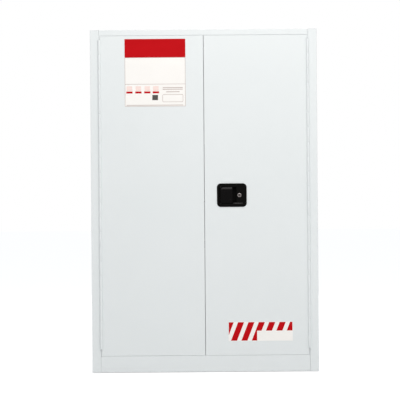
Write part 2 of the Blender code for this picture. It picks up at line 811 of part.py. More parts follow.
def door(label, side):
    """Skin, liner and hinge leaf of one door."""
    low_x, high_x = mirrored_span(side, DOOR_INNER, DOOR_OUTER)
    skin = pan(label + "_door_skin", (low_x, FRONT_Y, DOOR_BOTTOM),
               (high_x, DOOR_BACK_Y, DOOR_TOP), (0, 1, 0), POWDER_COAT,
               DOOR_EDGE_RADIUS)
    step = SHEET + FIT
    liner = pan(label + "_door_liner",
                (low_x + step, DOOR_BACK_Y - LINER_EDGE, DOOR_BOTTOM + step),
                (high_x - step, DOOR_BACK_Y, DOOR_TOP - step), (0, -1, 0),
                LINER_COAT)
    lean_free_edge(skin, side)
    lean_free_edge(liner, side)
    leaf = hinge_leaf(label + "_door_leaf", side, DOOR_OUTER + FIT, 1, 0)
    return skin, liner, leaf


# Handle, paddle and lock

def handle_housing(skin):
    low_z = HANDLE_Z - HANDLE_HEIGHT / 2
    high_z = HANDLE_Z + HANDLE_HEIGHT / 2
    bm = bmesh.new()
    add_block(bm, (HANDLE_LEFT, HANDLE_FRONT_Y, low_z),
              (HANDLE_LEFT + HANDLE_WIDTH, FRONT_Y - FIT, high_z))
    upright = [edge for edge in bm.edges
               if abs(edge.verts[0].co.y - edge.verts[1].co.y) > HANDLE_FLANGE / 2]
    bmesh.ops.bevel(bm, geom=upright, offset=HANDLE_CORNER, offset_type='OFFSET',
                    segments=HANDLE_CORNER_STEPS, profile=ROUND_SHARE, affect='EDGES')
    made = finish_object("handle_housing", bm, BLACK_PLASTIC)
    pocket_low_z = HANDLE_Z - POCKET_HEIGHT / 2
    pocket_high_z = HANDLE_Z + POCKET_HEIGHT / 2
    pocket_right = POCKET_LEFT + POCKET_WIDTH
    join(made, block("pocket_walls",
                     (POCKET_LEFT - HANDLE_WALL, HANDLE_FRONT_Y + HANDLE_FLANGE / 2,
                      pocket_low_z - HANDLE_WALL),
                     (pocket_right + HANDLE_WALL, POCKET_BACK_Y + HANDLE_WALL,
                      pocket_high_z + HANDLE_WALL)))
    join(made, rod("lock_boss", (LOCK_X, HANDLE_FRONT_Y + HANDLE_FLANGE / 2, HANDLE_Z),
                   LOCK_BOSS, LOCK_DEPTH / 2, (0, 1, 0), LOCK_SIDES))
    cut(made, block("face_recess",
                    (HANDLE_LEFT + HANDLE_BORDER, HANDLE_FRONT_Y - OVERRUN,
                     low_z + HANDLE_BORDER),
                    (HANDLE_LEFT + HANDLE_WIDTH - HANDLE_BORDER,
                     HANDLE_FRONT_Y + HANDLE_FACE_SINK, high_z - HANDLE_BORDER)))
    cut(made, block("pocket_space", (POCKET_LEFT, HANDLE_FRONT_Y - OVERRUN, pocket_low_z),
                    (pocket_right, POCKET_BACK_Y, pocket_high_z)))
    cut(made, rod("lock_recess", (LOCK_X, HANDLE_FRONT_Y - OVERRUN, HANDLE_Z),
                  LOCK_RECESS, LOCK_RECESS_DEPTH + OVERRUN, (0, 1, 0),
                  2 * LOCK_SIDES))
    cut(made, rod("lock_hole", (LOCK_X, HANDLE_FRONT_Y - OVERRUN, HANDLE_Z),
                  LOCK_BARREL + FIT, LOCK_DEPTH + 2 * OVERRUN, (0, 1, 0), LOCK_SIDES))
    pin_hole_start = (PADDLE_PIN_X, PADDLE_PIN_Y, pocket_low_z - 2 * HANDLE_WALL)
    cut(made, rod("paddle_pin_holes", pin_hole_start, PADDLE_PIN_BORE,
                  POCKET_HEIGHT + 4 * HANDLE_WALL, (0, 0, 1), PIN_SIDES))
    slot_half = TAIL_HEIGHT / 2 + HANDLE_WALL
    slot_low = (POCKET_LEFT + HANDLE_WALL, POCKET_BACK_Y - OVERRUN,
                HANDLE_Z - TAIL_DROP - slot_half)
    slot_high = (CAM_X, POCKET_BACK_Y + OVERRUN, HANDLE_Z - TAIL_DROP + slot_half)
    cut(made, block("tail_slot", slot_low, slot_high))
    outer_margin = HANDLE_WALL + HANDLE_CUT_MARGIN
    cut(skin, block("handle_cut_out",
                    (POCKET_LEFT - outer_margin, FRONT_Y - OVERRUN,
                     pocket_low_z - outer_margin),
                    (LOCK_X + LOCK_BOSS + HANDLE_CUT_MARGIN, FRONT_Y + OVERRUN,
                     pocket_high_z + outer_margin)))
    return made


def paddle():
    half = POCKET_HEIGHT / 2 - PADDLE_END_GAP
    front = HANDLE_FRONT_Y + PADDLE_SINK
    right = PADDLE_PIN_X + PADDLE_WIDTH
    path = [
        (PADDLE_PIN_X - PADDLE_SHEET, front),
        (right, front),
        (right, front + PADDLE_LIP),
    ]
    made = folded_sheet("paddle", path, 'Z', HANDLE_Z - half, HANDLE_Z + half, 1,
                        BLACK_PLASTIC, PADDLE_SHEET, PADDLE_BEND)
    eye_start = (PADDLE_PIN_X, PADDLE_PIN_Y, HANDLE_Z - half + PADDLE_END_GAP)
    join(made, rod("paddle_eye", eye_start, PADDLE_EYE,
                   2 * (half - PADDLE_END_GAP), (0, 0, 1), KNUCKLE_SIDES))
    tail_z = HANDLE_Z - TAIL_DROP
    join(made, block("paddle_tail",
                     (PADDLE_PIN_X, PADDLE_PIN_Y + PADDLE_PIN_BORE,
                      tail_z - TAIL_HEIGHT / 2),
                     (PADDLE_PIN_X + TAIL_WIDTH, PADDLE_PIN_Y + TAIL_REACH,
                      tail_z + TAIL_HEIGHT / 2)))
    bore_start = (PADDLE_PIN_X, PADDLE_PIN_Y, HANDLE_Z - half - OVERRUN)
    cut(made, rod("paddle_bore", bore_start, PADDLE_PIN_BORE,
                  2 * (half + OVERRUN), (0, 0, 1), PIN_SIDES))
    return made


def paddle_pin():
    start = (PADDLE_PIN_X, PADDLE_PIN_Y, HANDLE_Z - POCKET_HEIGHT / 2 - HANDLE_WALL)
    return rod("paddle_pin", start, PADDLE_PIN_RADIUS,
               POCKET_HEIGHT + 2 * HANDLE_WALL, (0, 0, 1), PIN_SIDES, STAINLESS)


def lock_barrel():
    seat = HANDLE_FRONT_Y + LOCK_RECESS_DEPTH - FIT
    return lathe("lock_barrel", [
        (LOCK_BORE, -LOCK_FLANGE_PROUD),
        (LOCK_FLANGE, -LOCK_FLANGE_PROUD),
        (LOCK_FLANGE, 0),
        (LOCK_BARREL, 0),
        (LOCK_BARREL, LOCK_DEPTH),
        (LOCK_BORE, LOCK_DEPTH),
        (LOCK_BORE, -LOCK_FLANGE_PROUD),
    ], (LOCK_X, seat, HANDLE_Z), (0, 1, 0), LOCK_SIDES, CHROME)


def lock_plug():
    seat = HANDLE_FRONT_Y + LOCK_RECESS_DEPTH - FIT
    front = seat - LOCK_FLANGE_PROUD + FIT
    back = seat + LOCK_DEPTH + TONGUE_THICKNESS + FIT
    made = rod("lock_plug", (LOCK_X, front, HANDLE_Z), LOCK_BORE - 2 * FIT,
               back - front, (0, 1, 0), LOCK_SIDES, CHROME)
    join(made, block("lock_tongue",
                     (LOCK_X - TONGUE_WIDTH / 2, back - TONGUE_THICKNESS,
                      HANDLE_Z - TONGUE_LENGTH),
                     (LOCK_X + TONGUE_WIDTH / 2, back, HANDLE_Z)))
    cut(made, block("keyway",
                    (LOCK_X - KEYWAY_WIDTH / 2, front - OVERRUN,
                     HANDLE_Z - KEYWAY_HEIGHT / 2),
                    (LOCK_X + KEYWAY_WIDTH / 2, front + KEYWAY_DEPTH,
                     HANDLE_Z + KEYWAY_HEIGHT / 2)))
    return made


# Three-point latch

def cam_plate():
    made = rod("cam_plate", (CAM_X, CAM_Y, HANDLE_Z), CAM_RADIUS, CAM_THICKNESS,
               (0, 1, 0), CAM_SIDES, ZINC)
    inside = CAM_THICKNESS / 2
    rear = [(CAM_X - CAM_PIN_ARM, CAM_Y + inside, HANDLE_Z),
            (CAM_X + CAM_PIN_ARM, CAM_Y + inside, HANDLE_Z),
            (CAM_X, CAM_Y + inside, HANDLE_Z - CAM_PIN_ARM)]
    join(made, rods("cam_pins", rear, CAM_PIN_RADIUS, inside + CAM_PIN_REACH,
                    (0, 1, 0), PIN_SIDES))
    drive = (CAM_X - CAM_DRIVE_ARM, CAM_Y + inside, HANDLE_Z - CAM_DRIVE_ARM)
    join(made, rod("cam_drive_pin", drive, CAM_PIN_RADIUS,
                   inside + CAM_DRIVE_REACH, (0, -1, 0), PIN_SIDES))
    cut(made, rod("cam_bore", (CAM_X, CAM_Y - OVERRUN, HANDLE_Z), CAM_BORE,
                  CAM_THICKNESS + 2 * OVERRUN, (0, 1, 0), KNUCKLE_SIDES))
    return made


def cam_spindle():
    front = POCKET_BACK_Y + HANDLE_WALL + FIT
    shank = CAM_BACK_Y + FIT - front
    return lathe("cam_spindle", [
        (0, 0),
        (SPINDLE_RADIUS, 0),
        (SPINDLE_RADIUS, shank),
        (SPINDLE_HEAD, shank),
        (SPINDLE_HEAD, shank + SPINDLE_HEAD_THICKNESS),
        (0, shank + SPINDLE_HEAD_THICKNESS),
    ], (CAM_X, front, HANDLE_Z), (0, 1, 0), KNUCKLE_SIDES, STAINLESS)


def latch_rod(name, pin, direction, tip_reach):
    """A round bar with a slotted eye on a cam pin and a tapered nose."""
    pin = Vector(pin)
    direction = Vector(direction)
    across = Vector((direction.z, 0, direction.x))
    along_half = direction * EYE_BREADTH / 2
    across_half = across * EYE_LENGTH / 2
    depth_half = Vector((0, EYE_THICKNESS / 2, 0))
    reach = along_half + across_half
    reach = Vector((abs(reach.x), 0, abs(reach.z))) + depth_half
    root = pin + direction * (CAM_PIN_RADIUS + EYE_SLOT_PLAY + ROD_TIP)
    length = tip_reach - (root - pin).length
    made = lathe(name, [
        (0, 0),
        (ROD_RADIUS, 0),
        (ROD_RADIUS, length - ROD_TIP_LENGTH),
        (ROD_TIP, length),
        (0, length),
    ], root, direction, ROD_SIDES, STAINLESS)
    join(made, block(name + "_eye", pin - reach, pin + reach))
    play = CAM_PIN_RADIUS + EYE_SLOT_PLAY
    slot = across * (CAM_SIDE_TRAVEL + CAM_PIN_RADIUS + EYE_SLOT_END) + direction * play
    slot = Vector((abs(slot.x), OVERRUN, abs(slot.z)))
    cut(made, block(name + "_slot", pin - slot, pin + slot))
    return made


def latch(skin, liner, left_skin, left_liner, header, lower_sill):
    upper_x = CAM_X - CAM_PIN_ARM
    lower_x = CAM_X + CAM_PIN_ARM
    bolt_z = HANDLE_Z - CAM_PIN_ARM
    upper = latch_rod("upper_rod", (upper_x, ROD_Y, HANDLE_Z), (0, 0, 1),
                      DOOR_TOP + ROD_THROW - HANDLE_Z)
    lower = latch_rod("lower_rod", (lower_x, ROD_Y, HANDLE_Z), (0, 0, -1),
                      HANDLE_Z + ROD_THROW - DOOR_BOTTOM)
    bolt = latch_rod("centre_bolt", (CAM_X, ROD_Y, bolt_z), (-1, 0, 0),
                     CAM_X + ROD_THROW + SEAM / 2 - FIT)
    band = 2 * OVERRUN + DOOR_EDGE_GAP
    upper_hole = (upper_x, ROD_Y, DOOR_TOP - 2 * OVERRUN)
    lower_hole = (lower_x, ROD_Y, DOOR_BOTTOM - OVERRUN - DOOR_EDGE_GAP)
    holes = rods("rod_holes", [upper_hole, lower_hole], ROD_BORE,
                 band + OVERRUN, (0, 0, 1), ROD_SIDES)
    for target in (skin, liner, header, lower_sill):
        cut(target, holes)
    bolt_hole = (-SEAM / 2 - OVERRUN, ROD_Y, bolt_z)
    across = rod("bolt_hole", bolt_hole, ROD_BORE, SEAM + 2 * OVERRUN,
                 (1, 0, 0), ROD_SIDES)
    for target in (skin, liner, left_skin, left_liner):
        cut(target, across)
    return upper, lower, bolt


def keeper(name, x, low_z):
    made = block(name, (x - KEEPER_WIDTH / 2, ROD_Y - KEEPER_DEPTH / 2, low_z),
                 (x + KEEPER_WIDTH / 2, ROD_Y + KEEPER_DEPTH / 2,
                  low_z + KEEPER_THICKNESS), ZINC)
    cut(made, rod(name + "_bore", (x, ROD_Y, low_z - OVERRUN), ROD_BORE,
                  KEEPER_THICKNESS + 2 * OVERRUN, (0, 0, 1), ROD_SIDES))
    return made


# Assembly

def build():
    left_side = outer_side("outer_side_left", -1)
    right_side = outer_side("outer_side_right", 1)
    top = outer_top()
    lower_sill = sill()
    outer_back()
    base_panel()
    left_inner = inner_side("inner_side_left", -1)
    right_inner = inner_side("inner_side_right", 1)
    inner_panels()
    vent("low", -1, VENT_LOW_HEIGHT, left_side, left_inner)
    vent("high", 1, CABINET_HEIGHT - VENT_HIGH_DROP, right_side, right_inner)
    ground_stud(right_side)
    for number, (x, y) in enumerate(foot_places(), 1):
        name = "foot_" + str(number)
        pivot(name + "_axis", (x, y, 0), [foot(name, x, y)])
    shelving()

    left_skin, left_liner, left_leaf = door("left", -1)
    skin, liner, right_leaf = door("right", 1)
    for label, side in (("left", -1), ("right", 1)):
        hinge_leaf(label + "_frame_leaf", side, OPENING_HALF - FIT - LEAF, 0, 1)
        hinge_pin(label + "_hinge_pin", side)

    housing = handle_housing(skin)
    flap = paddle()
    barrel = lock_barrel()
    plug = lock_plug()
    pin = paddle_pin()
    cam = cam_plate()
    spindle = cam_spindle()
    upper, lower, bolt = latch(skin, liner, left_skin, left_liner, top, lower_sill)
    keeper("upper_keeper", CAM_X - CAM_PIN_ARM, HEADER_BOTTOM + SHEET + FIT)
    keeper("lower_keeper", CAM_X + CAM_PIN_ARM,
           SILL_TOP - SHEET - FIT - KEEPER_THICKNESS)

    pivot("left_door_axis", (-HINGE_X, HINGE_Y, DOOR_BOTTOM),
          [left_skin, left_liner, left_leaf])
    right_axis = pivot("right_door_axis", (HINGE_X, HINGE_Y, DOOR_BOTTOM),
                       [skin, liner, right_leaf, housing, barrel, pin, spindle])
    movers = [
        pivot("paddle_axis", (PADDLE_PIN_X, PADDLE_PIN_Y, HANDLE_Z), [flap]),
        pivot("lock_axis", (LOCK_X, HANDLE_FRONT_Y, HANDLE_Z), [plug]),
        pivot("cam_axis", (CAM_X, CAM_Y, HANDLE_Z), [cam]),
        pivot("upper_rod_axis", (CAM_X - CAM_PIN_ARM, ROD_Y, HANDLE_Z), [upper]),
        pivot("lower_rod_axis", (CAM_X + CAM_PIN_ARM, ROD_Y, HANDLE_Z), [lower]),
        pivot("bolt_axis", (CAM_X, ROD_Y, HANDLE_Z - CAM_PIN_ARM), [bolt]),
    ]
    for mover in movers:
        mover.parent = right_axis
        mover.matrix_parent_inverse = Matrix.Translation(
            (HINGE_X, HINGE_Y, DOOR_BOTTOM)).inverted()
    bpy.context.view_layer.update()


build()
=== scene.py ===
import json
import math

import bmesh
import bpy
from mathutils import Matrix, Vector


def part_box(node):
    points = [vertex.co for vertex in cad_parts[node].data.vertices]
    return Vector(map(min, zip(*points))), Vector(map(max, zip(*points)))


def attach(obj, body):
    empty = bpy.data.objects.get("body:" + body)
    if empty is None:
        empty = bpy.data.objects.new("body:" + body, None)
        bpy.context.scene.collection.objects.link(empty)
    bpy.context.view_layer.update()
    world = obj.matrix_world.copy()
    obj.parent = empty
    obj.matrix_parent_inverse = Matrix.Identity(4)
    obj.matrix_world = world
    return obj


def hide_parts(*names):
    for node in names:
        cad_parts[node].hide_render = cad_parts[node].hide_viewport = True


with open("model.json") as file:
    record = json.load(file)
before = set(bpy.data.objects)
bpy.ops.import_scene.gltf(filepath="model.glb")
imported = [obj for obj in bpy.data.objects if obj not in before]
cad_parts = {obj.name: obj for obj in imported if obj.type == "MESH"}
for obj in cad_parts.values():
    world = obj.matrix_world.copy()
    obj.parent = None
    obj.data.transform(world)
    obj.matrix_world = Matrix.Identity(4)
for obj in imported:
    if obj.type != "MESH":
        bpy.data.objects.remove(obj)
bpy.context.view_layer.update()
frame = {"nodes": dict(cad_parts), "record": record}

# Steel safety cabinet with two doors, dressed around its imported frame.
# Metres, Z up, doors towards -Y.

mm = 0.001
upAxis = Vector((0, 0, 1))
bodyOf = {node: body
          for body, members in frame["record"]["behaviour"]["bodies"].items()
          for node in members}


# Colours and nodes

def linearColour(hexColour):
    # Takes the display curve off a hex colour.
    channels = []
    for start in (1, 3, 5):
        value = int(hexColour[start:start + 2], 16) / 255
        channels.append(value / 12.92 if value <= 0.04045
                        else ((value + 0.055) / 1.055) ** 2.4)
    return (*channels, 1)


def addNode(tree, kind, settings=None, links=None):
    node = tree.nodes.new(kind)
    for name, value in (settings or {}).items():
        if isinstance(name, int) or name in node.inputs:
            node.inputs[name].default_value = value
        else:
            setattr(node, name, value)
    for name, socket in (links or {}).items():
        tree.links.new(socket, node.inputs[name])
    return node


# What all finishes share: glass-like reflection, and how rough each noise is.
finishWork = {
    "ior": 1.5, "driftDetail": 3.0, "driftRoughness": 0.55, "glossDetail": 4.0,
    "glossFrom": 0.3, "glossTo": 0.7, "grainDetail": 2.0, "plainRoughness": 0.5,
}


def addNoise(tree, place, size, detail, roughness):
    return addNode(tree, "ShaderNodeTexNoise",
                   {"Scale": 1 / (size * mm), "Detail": detail,
                    "Roughness": roughness}, {"Vector": place}).outputs["Fac"]


def surfaceFrom(look):
    # Two close shades drift over the surface, the gloss drifts with a finer
    # noise, and the grain is a bump. Sizes are in millimetres.
    work = finishWork
    surface = bpy.data.materials.new(look["name"])
    surface.use_nodes = True
    tree = surface.node_tree
    shader = tree.nodes["Principled BSDF"]
    shader.inputs["Metallic"].default_value = look.get("metallic", 0)
    shader.inputs["IOR"].default_value = work["ior"]
    shader.inputs["Specular IOR Level"].default_value = look.get("shine", 0.5)
    place = addNode(tree, "ShaderNodeTexCoord").outputs["Object"]
    stretch = look.get("stretch", (1, 1, 1))
    drawn = addNode(tree, "ShaderNodeMapping", {"Scale": stretch},
                    {"Vector": place}).outputs["Vector"]
    drift = addNoise(tree, drawn, look["driftSize"], work["driftDetail"],
                     work["driftRoughness"])
    shade = addNode(tree, "ShaderNodeMix",
                    {"data_type": "RGBA", 6: linearColour(look["light"]),
                     7: linearColour(look["dark"])}, {0: drift})
    tree.links.new(shade.outputs[2], shader.inputs["Base Color"])
    gloss = addNoise(tree, drawn, look["glossSize"], work["glossDetail"],
                     work["plainRoughness"])
    low, high = look["roughness"]
    rough = addNode(tree, "ShaderNodeMapRange",
                    {"From Min": work["glossFrom"], "From Max": work["glossTo"],
                     "To Min": low, "To Max": high}, {"Value": gloss})
    tree.links.new(rough.outputs["Result"], shader.inputs["Roughness"])
    grain = addNoise(tree, drawn, look["grainSize"], work["grainDetail"],
                     work["plainRoughness"])
    bump = addNode(tree, "ShaderNodeBump",
                   {"Strength": look["grainStrength"],
                    "Distance": look["grainDepth"] * mm}, {"Height": grain})
    tree.links.new(bump.outputs["Normal"], shader.inputs["Normal"])
    return surface


# Pale grey polyester powder coat, sprayed and baked: a soft satin shine with
# orange peel. Real peel is 2 mm across, drawn at 9 mm so that it can show.
doorPaint = surfaceFrom({
    "name": "powder_coated_steel", "light": "#E9ECED", "dark": "#E4E8E9",
    "driftSize": 420, "glossSize": 60, "roughness": (0.36, 0.46),
    "grainSize": 9, "grainDepth": 0.05, "grainStrength": 0.6})

# The same coat inside, thinner and flatter: a duller, slightly darker grey.
linerPaint = surfaceFrom({
    "name": "satin_coated_liner_steel", "light": "#E1E5E6", "dark": "#DBDFE0",
    "driftSize": 300, "glossSize": 50, "roughness": (0.46, 0.56),
    "grainSize": 7, "grainDepth": 0.04, "grainStrength": 0.6})

# Hinge steel under the coat, drawn a shade lighter than the doors and less even. The
# lighter shade is painted light that offsets the shade at the knuckles' sides.
hingePaintLightened = surfaceFrom({
    "name": "coated_hinge_steel_painted_light", "light": "#ECEFF0", "dark": "#E4E8E9",
    "driftSize": 60, "glossSize": 12, "roughness": (0.34, 0.48),
    "grainSize": 4, "grainDepth": 0.05, "grainStrength": 0.8})

# Galvanised sheet: a cool metal with cloudy zinc crystals 20 mm across.
zincSheet = surfaceFrom({
    "name": "galvanised_steel", "light": "#B9BEC1", "dark": "#9DA3A7",
    "driftSize": 22, "glossSize": 14, "roughness": (0.30, 0.48), "metallic": 0.9,
    "grainSize": 3, "grainDepth": 0.02, "grainStrength": 0.7})

# Bright zinc plate on turned and pressed fittings: bluish with a fine haze.
zincPlate = surfaceFrom({
    "name": "zinc_plated_steel", "light": "#C2C7CA", "dark": "#A9AEB4",
    "driftSize": 12, "glossSize": 5, "roughness": (0.22, 0.36), "metallic": 1,
    "grainSize": 1.5, "grainDepth": 0.01, "grainStrength": 0.6})

# Turned stainless steel: fine rings from the lathe, drawn at 1.2 mm.
turnedSteel = surfaceFrom({
    "name": "turned_stainless_steel", "light": "#A9ABAE", "dark": "#8E9194",
    "driftSize": 9, "glossSize": 4, "roughness": (0.20, 0.34), "metallic": 1,
    "grainSize": 1.2, "grainDepth": 0.01, "grainStrength": 0.6,
    "stretch": (0.3, 0.3, 1)})

# Satin black-nickel chrome on the lock: a grey mirror, slightly wavy.
lockChrome = surfaceFrom({
    "name": "satin_chrome", "light": "#958E8D", "dark": "#857E7D",
    "driftSize": 6, "glossSize": 3, "roughness": (0.16, 0.26), "metallic": 1,
    "grainSize": 4, "grainDepth": 0.01, "grainStrength": 0.5})

# The plug's metal is duller and drawn darker than the ring. The darkness is painted
# shade for the lock's recessed centre.
plugMetalPaintedShade = surfaceFrom({
    "name": "plug_metal_painted_shade", "light": "#5C5655", "dark": "#4A4544",
    "driftSize": 5, "glossSize": 3, "roughness": (0.24, 0.36), "metallic": 1,
    "grainSize": 3, "grainDepth": 0.01, "grainStrength": 0.6})

# Moulded black ABS with a spark-eroded grain of 0.4 mm, drawn at 1.4 mm. The
# grain swallows most of the shine.
handlePlastic = surfaceFrom({
    "name": "moulded_black_abs", "light": "#0A0908", "dark": "#070706",
    "driftSize": 40, "glossSize": 6, "roughness": (0.42, 0.56), "shine": 0.04,
    "grainSize": 1.4, "grainDepth": 0.03, "grainStrength": 0.8})

# The paddle is moulded smoother, so that it shines a little more.
paddlePlastic = surfaceFrom({
    "name": "smooth_black_abs", "light": "#070505", "dark": "#040303",
    "driftSize": 30, "glossSize": 8, "roughness": (0.22, 0.30), "shine": 0.065,
    "grainSize": 2.5, "grainDepth": 0.02, "grainStrength": 0.6})

# The same plastic, lighter and a little shinier. The lighter colour is a painted
# highlight for sloped edges that face the light from above.
highlightPaintedPlastic = surfaceFrom({
    "name": "black_abs_painted_highlight", "light": "#161313", "dark": "#110F0F",
    "driftSize": 20, "glossSize": 6, "roughness": (0.24, 0.32), "shine": 0.15,
    "grainSize": 2.5, "grainDepth": 0.02, "grainStrength": 0.5})

# Sintered arrester disc: dark, rough metal that swallows light.
arresterMetal = surfaceFrom({
    "name": "dark_sintered_steel", "light": "#4A4B4D", "dark": "#2F3032",
    "driftSize": 6, "glossSize": 2, "roughness": (0.50, 0.70), "metallic": 0.8,
    "grainSize": 1, "grainDepth": 0.08, "grainStrength": 1.0})

# Calendered vinyl film: warm white, smooth, with a faint stretch in it.
labelVinyl = surfaceFrom({
    "name": "white_label_vinyl", "light": "#FCF9F6", "dark": "#F9F5F1",
    "driftSize": 90, "glossSize": 25, "roughness": (0.26, 0.36), "shine": 0.2,
    "grainSize": 14, "grainDepth": 0.02, "grainStrength": 0.5})

# Screen-printed red on vinyl: dense pigment, a little uneven in the squeegee's
# direction.
redInk = surfaceFrom({
    "name": "red_screen_ink", "light": "#C8121B", "dark": "#BC0D14",
    "driftSize": 45, "glossSize": 18, "roughness": (0.28, 0.40), "shine": 0.03,
    "grainSize": 10, "grainDepth": 0.02, "grainStrength": 0.5,
    "stretch": (0.25, 1, 1)})

# Grey rules, dark print and pale tints, printed in the same pass.
greyInk = surfaceFrom({
    "name": "warm_grey_screen_ink", "light": "#BBA8A3", "dark": "#B09D98",
    "driftSize": 30, "glossSize": 12, "roughness": (0.30, 0.42), "shine": 0.1,
    "grainSize": 8, "grainDepth": 0.01, "grainStrength": 0.5})
darkInk = surfaceFrom({
    "name": "dark_screen_ink", "light": "#5A5654", "dark": "#4E4A48",
    "driftSize": 20, "glossSize": 8, "roughness": (0.32, 0.44), "shine": 0.1,
    "grainSize": 6, "grainDepth": 0.01, "grainStrength": 0.5})
paleInk = surfaceFrom({
    "name": "pale_red_screen_ink", "light": "#FBE6E0", "dark": "#F7DDD6",
    "driftSize": 30, "glossSize": 12, "roughness": (0.30, 0.42), "shine": 0.1,
    "grainSize": 8, "grainDepth": 0.01, "grainStrength": 0.5})
print("finishes made")


# Making pieces

# Angles are in degrees. Points closer than a weld become one.
meshWork = {
    "weld": 0.005 * mm, "turnedWeld": 0.01 * mm, "flatAngle": 0.5,
    "smoothAngle": 38, "edgeAngle": 28, "edgeSegments": 2, "flatWeight": 100,
}


def finishPiece(name, bm, surface, body, stands=()):
    mesh = bpy.data.meshes.new(name)
    bm.to_mesh(mesh)
    bm.free()
    mesh.materials.append(surface)
    mesh.shade_smooth()
    mesh.set_sharp_from_angle(angle=math.radians(meshWork["smoothAngle"]))
    piece = bpy.data.objects.new(name, mesh)
    bpy.context.scene.collection.objects.link(piece)
    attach(piece, body)
    if stands:
        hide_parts(*stands)
    return piece


def addBlock(bm, low, high):
    low = Vector(low)
    high = Vector(high)
    made = bmesh.ops.create_cube(bm, size=1)["verts"]
    bmesh.ops.scale(bm, verts=made, vec=high - low)
    bmesh.ops.translate(bm, verts=made, vec=(low + high) / 2)
    return made


def roundEdges(bm, edges, radius, segments):
    bmesh.ops.bevel(bm, geom=edges, offset=radius, offset_type='OFFSET',
                    affect='EDGES', segments=segments, profile=0.5,
                    material=-1, clamp_overlap=True)


def edgesOf(verts):
    return list({edge for vert in verts for edge in vert.link_edges})


def runsAlong(edge, axis):
    # True where an edge of a box or bar follows the axis numbered 0, 1 or 2.
    start, end = edge.verts
    return abs(start.co[axis] - end.co[axis]) > meshWork["weld"]


def turnTowards(axis):
    return upAxis.rotation_difference(Vector(axis)).to_matrix().to_4x4()


def addBar(bm, middle, axis, radius, length, sides):
    return bmesh.ops.create_cone(
        bm, cap_ends=True, segments=sides, radius1=radius, radius2=radius,
        depth=length, matrix=Matrix.Translation(middle) @ turnTowards(axis))["verts"]


def barAlong(start, axis, radius, length, sides):
    bm = bmesh.new()
    addBar(bm, Vector(start) + Vector(axis) * length / 2, axis, radius, length, sides)
    return bm


def turnedBody(profile, start, axis, steps):
    # A profile of (radius, height) spun round an axis that leaves start.
    bm = bmesh.new()
    corners = [bm.verts.new((radius, 0, height)) for radius, height in profile]
    edges = [bm.edges.new(pair) for pair in zip(corners, corners[1:])]
    bmesh.ops.spin(bm, geom=corners + edges, axis=upAxis, cent=(0, 0, 0),
                   angle=math.tau, steps=steps, use_merge=True)
    bmesh.ops.remove_doubles(bm, verts=bm.verts, dist=meshWork["turnedWeld"])
    place = Matrix.Translation(start) @ turnTowards(axis)
    bmesh.ops.transform(bm, matrix=place, verts=bm.verts)
    return bm


def recalculated(bm):
    bmesh.ops.recalc_face_normals(bm, faces=bm.faces)
    return bm


def turnedPiece(name, shape, surface, body, steps, stands):
    bm = recalculated(turnedBody(*shape, steps))
    return finishPiece(name, bm, surface, body, stands)


def carve(piece, cutterMesh, operation='DIFFERENCE'):
    # Cuts a bmesh out of a piece, or joins it on, and keeps one mesh.
    mesh = bpy.data.meshes.new("cutter")
    cutterMesh.to_mesh(mesh)
    cutterMesh.free()
    cutter = bpy.data.objects.new("cutter", mesh)
    bpy.context.scene.collection.objects.link(cutter)
    change = piece.modifiers.new("carve", 'BOOLEAN')
    change.operation = operation
    change.solver = 'EXACT'
    change.object = cutter
    bpy.context.view_layer.update()
    seen = piece.evaluated_get(bpy.context.evaluated_depsgraph_get())
    carved = bpy.data.meshes.new_from_object(seen)
    piece.modifiers.remove(change)
    old = piece.data
    piece.data = carved
    bpy.data.meshes.remove(old)
    bpy.data.objects.remove(cutter)
    bpy.data.meshes.remove(mesh)
    carved.name = piece.name


def softenEdges(piece, width, segments=meshWork["edgeSegments"],
                angle=meshWork["edgeAngle"]):
    # Rounds the sharp edges, and lets the large faces set the normals so that
    # they shade flat up to the rounding.
    rounding = piece.modifiers.new("edges", 'BEVEL')
    rounding.width = width
    rounding.segments = segments
    rounding.limit_method = 'ANGLE'
    rounding.angle_limit = math.radians(angle)
    flat = piece.modifiers.new("flat_faces", 'WEIGHTED_NORMAL')
    flat.weight = meshWork["flatWeight"]
    flat.keep_sharp = True


def dressNode(node, surface, width):
    # A merged copy of a CAD node with its sharp edges rounded.
    bm = bmesh.new()
    bm.from_mesh(frame["nodes"][node].data)
    bmesh.ops.remove_doubles(bm, verts=bm.verts, dist=meshWork["weld"])
    bmesh.ops.dissolve_limit(bm, angle_limit=math.radians(meshWork["flatAngle"]),
                             verts=bm.verts, edges=bm.edges, delimit={'NORMAL'})
    piece = finishPiece(node + "_dressed", bm, surface, bodyOf[node], (node,))
    softenEdges(piece, width)


# Sheet steel of the shell, inner box and doors, and the small fittings

sheetWork = {
    "shellEdge": 0.25 * mm, "linerEdge": 0.4 * mm, "smallEdge": 0.3 * mm,
    "shell": ("outer_side_left", "outer_side_right", "outer_top", "sill",
              "outer_back", "base_panel", "left_door_skin", "right_door_skin"),
    "liner": ("inner_back", "inner_top", "inner_side_left", "inner_side_right",
              "sump_pan", "left_door_liner", "right_door_liner"),
    "galvanised": ("lower_shelf", "upper_shelf", "standard_left_front",
                   "standard_left_rear", "standard_right_front",
                   "standard_right_rear"),
    "plated": ("lower_clip_left_front", "lower_clip_left_rear",
               "lower_clip_right_front", "lower_clip_right_rear",
               "upper_clip_left_front", "upper_clip_left_rear",
               "upper_clip_right_front", "upper_clip_right_rear",
               "cam_plate", "lower_keeper", "upper_keeper"),
    "steel": ("upper_rod", "lower_rod", "centre_bolt", "cam_spindle",
              "paddle_pin"),
    "sintered": ("flame_arrester_low", "flame_arrester_high"),
}
for group, surface, slot, edge in (
        ("shell", doorPaint, "powder_coat", "shellEdge"),
        ("liner", linerPaint, "liner_coat", "linerEdge"),
        ("galvanised", zincSheet, "zinc_plate", "smallEdge"),
        ("plated", zincPlate, "zinc_plate", "smallEdge"),
        ("steel", turnedSteel, "stainless", "smallEdge"),
        ("sintered", arresterMetal, "arrester_mesh", "smallEdge")):
    for node in sheetWork[group]:
        dressNode(node, surface, sheetWork[edge])
print("sheet metal dressed")


# Piano hinges

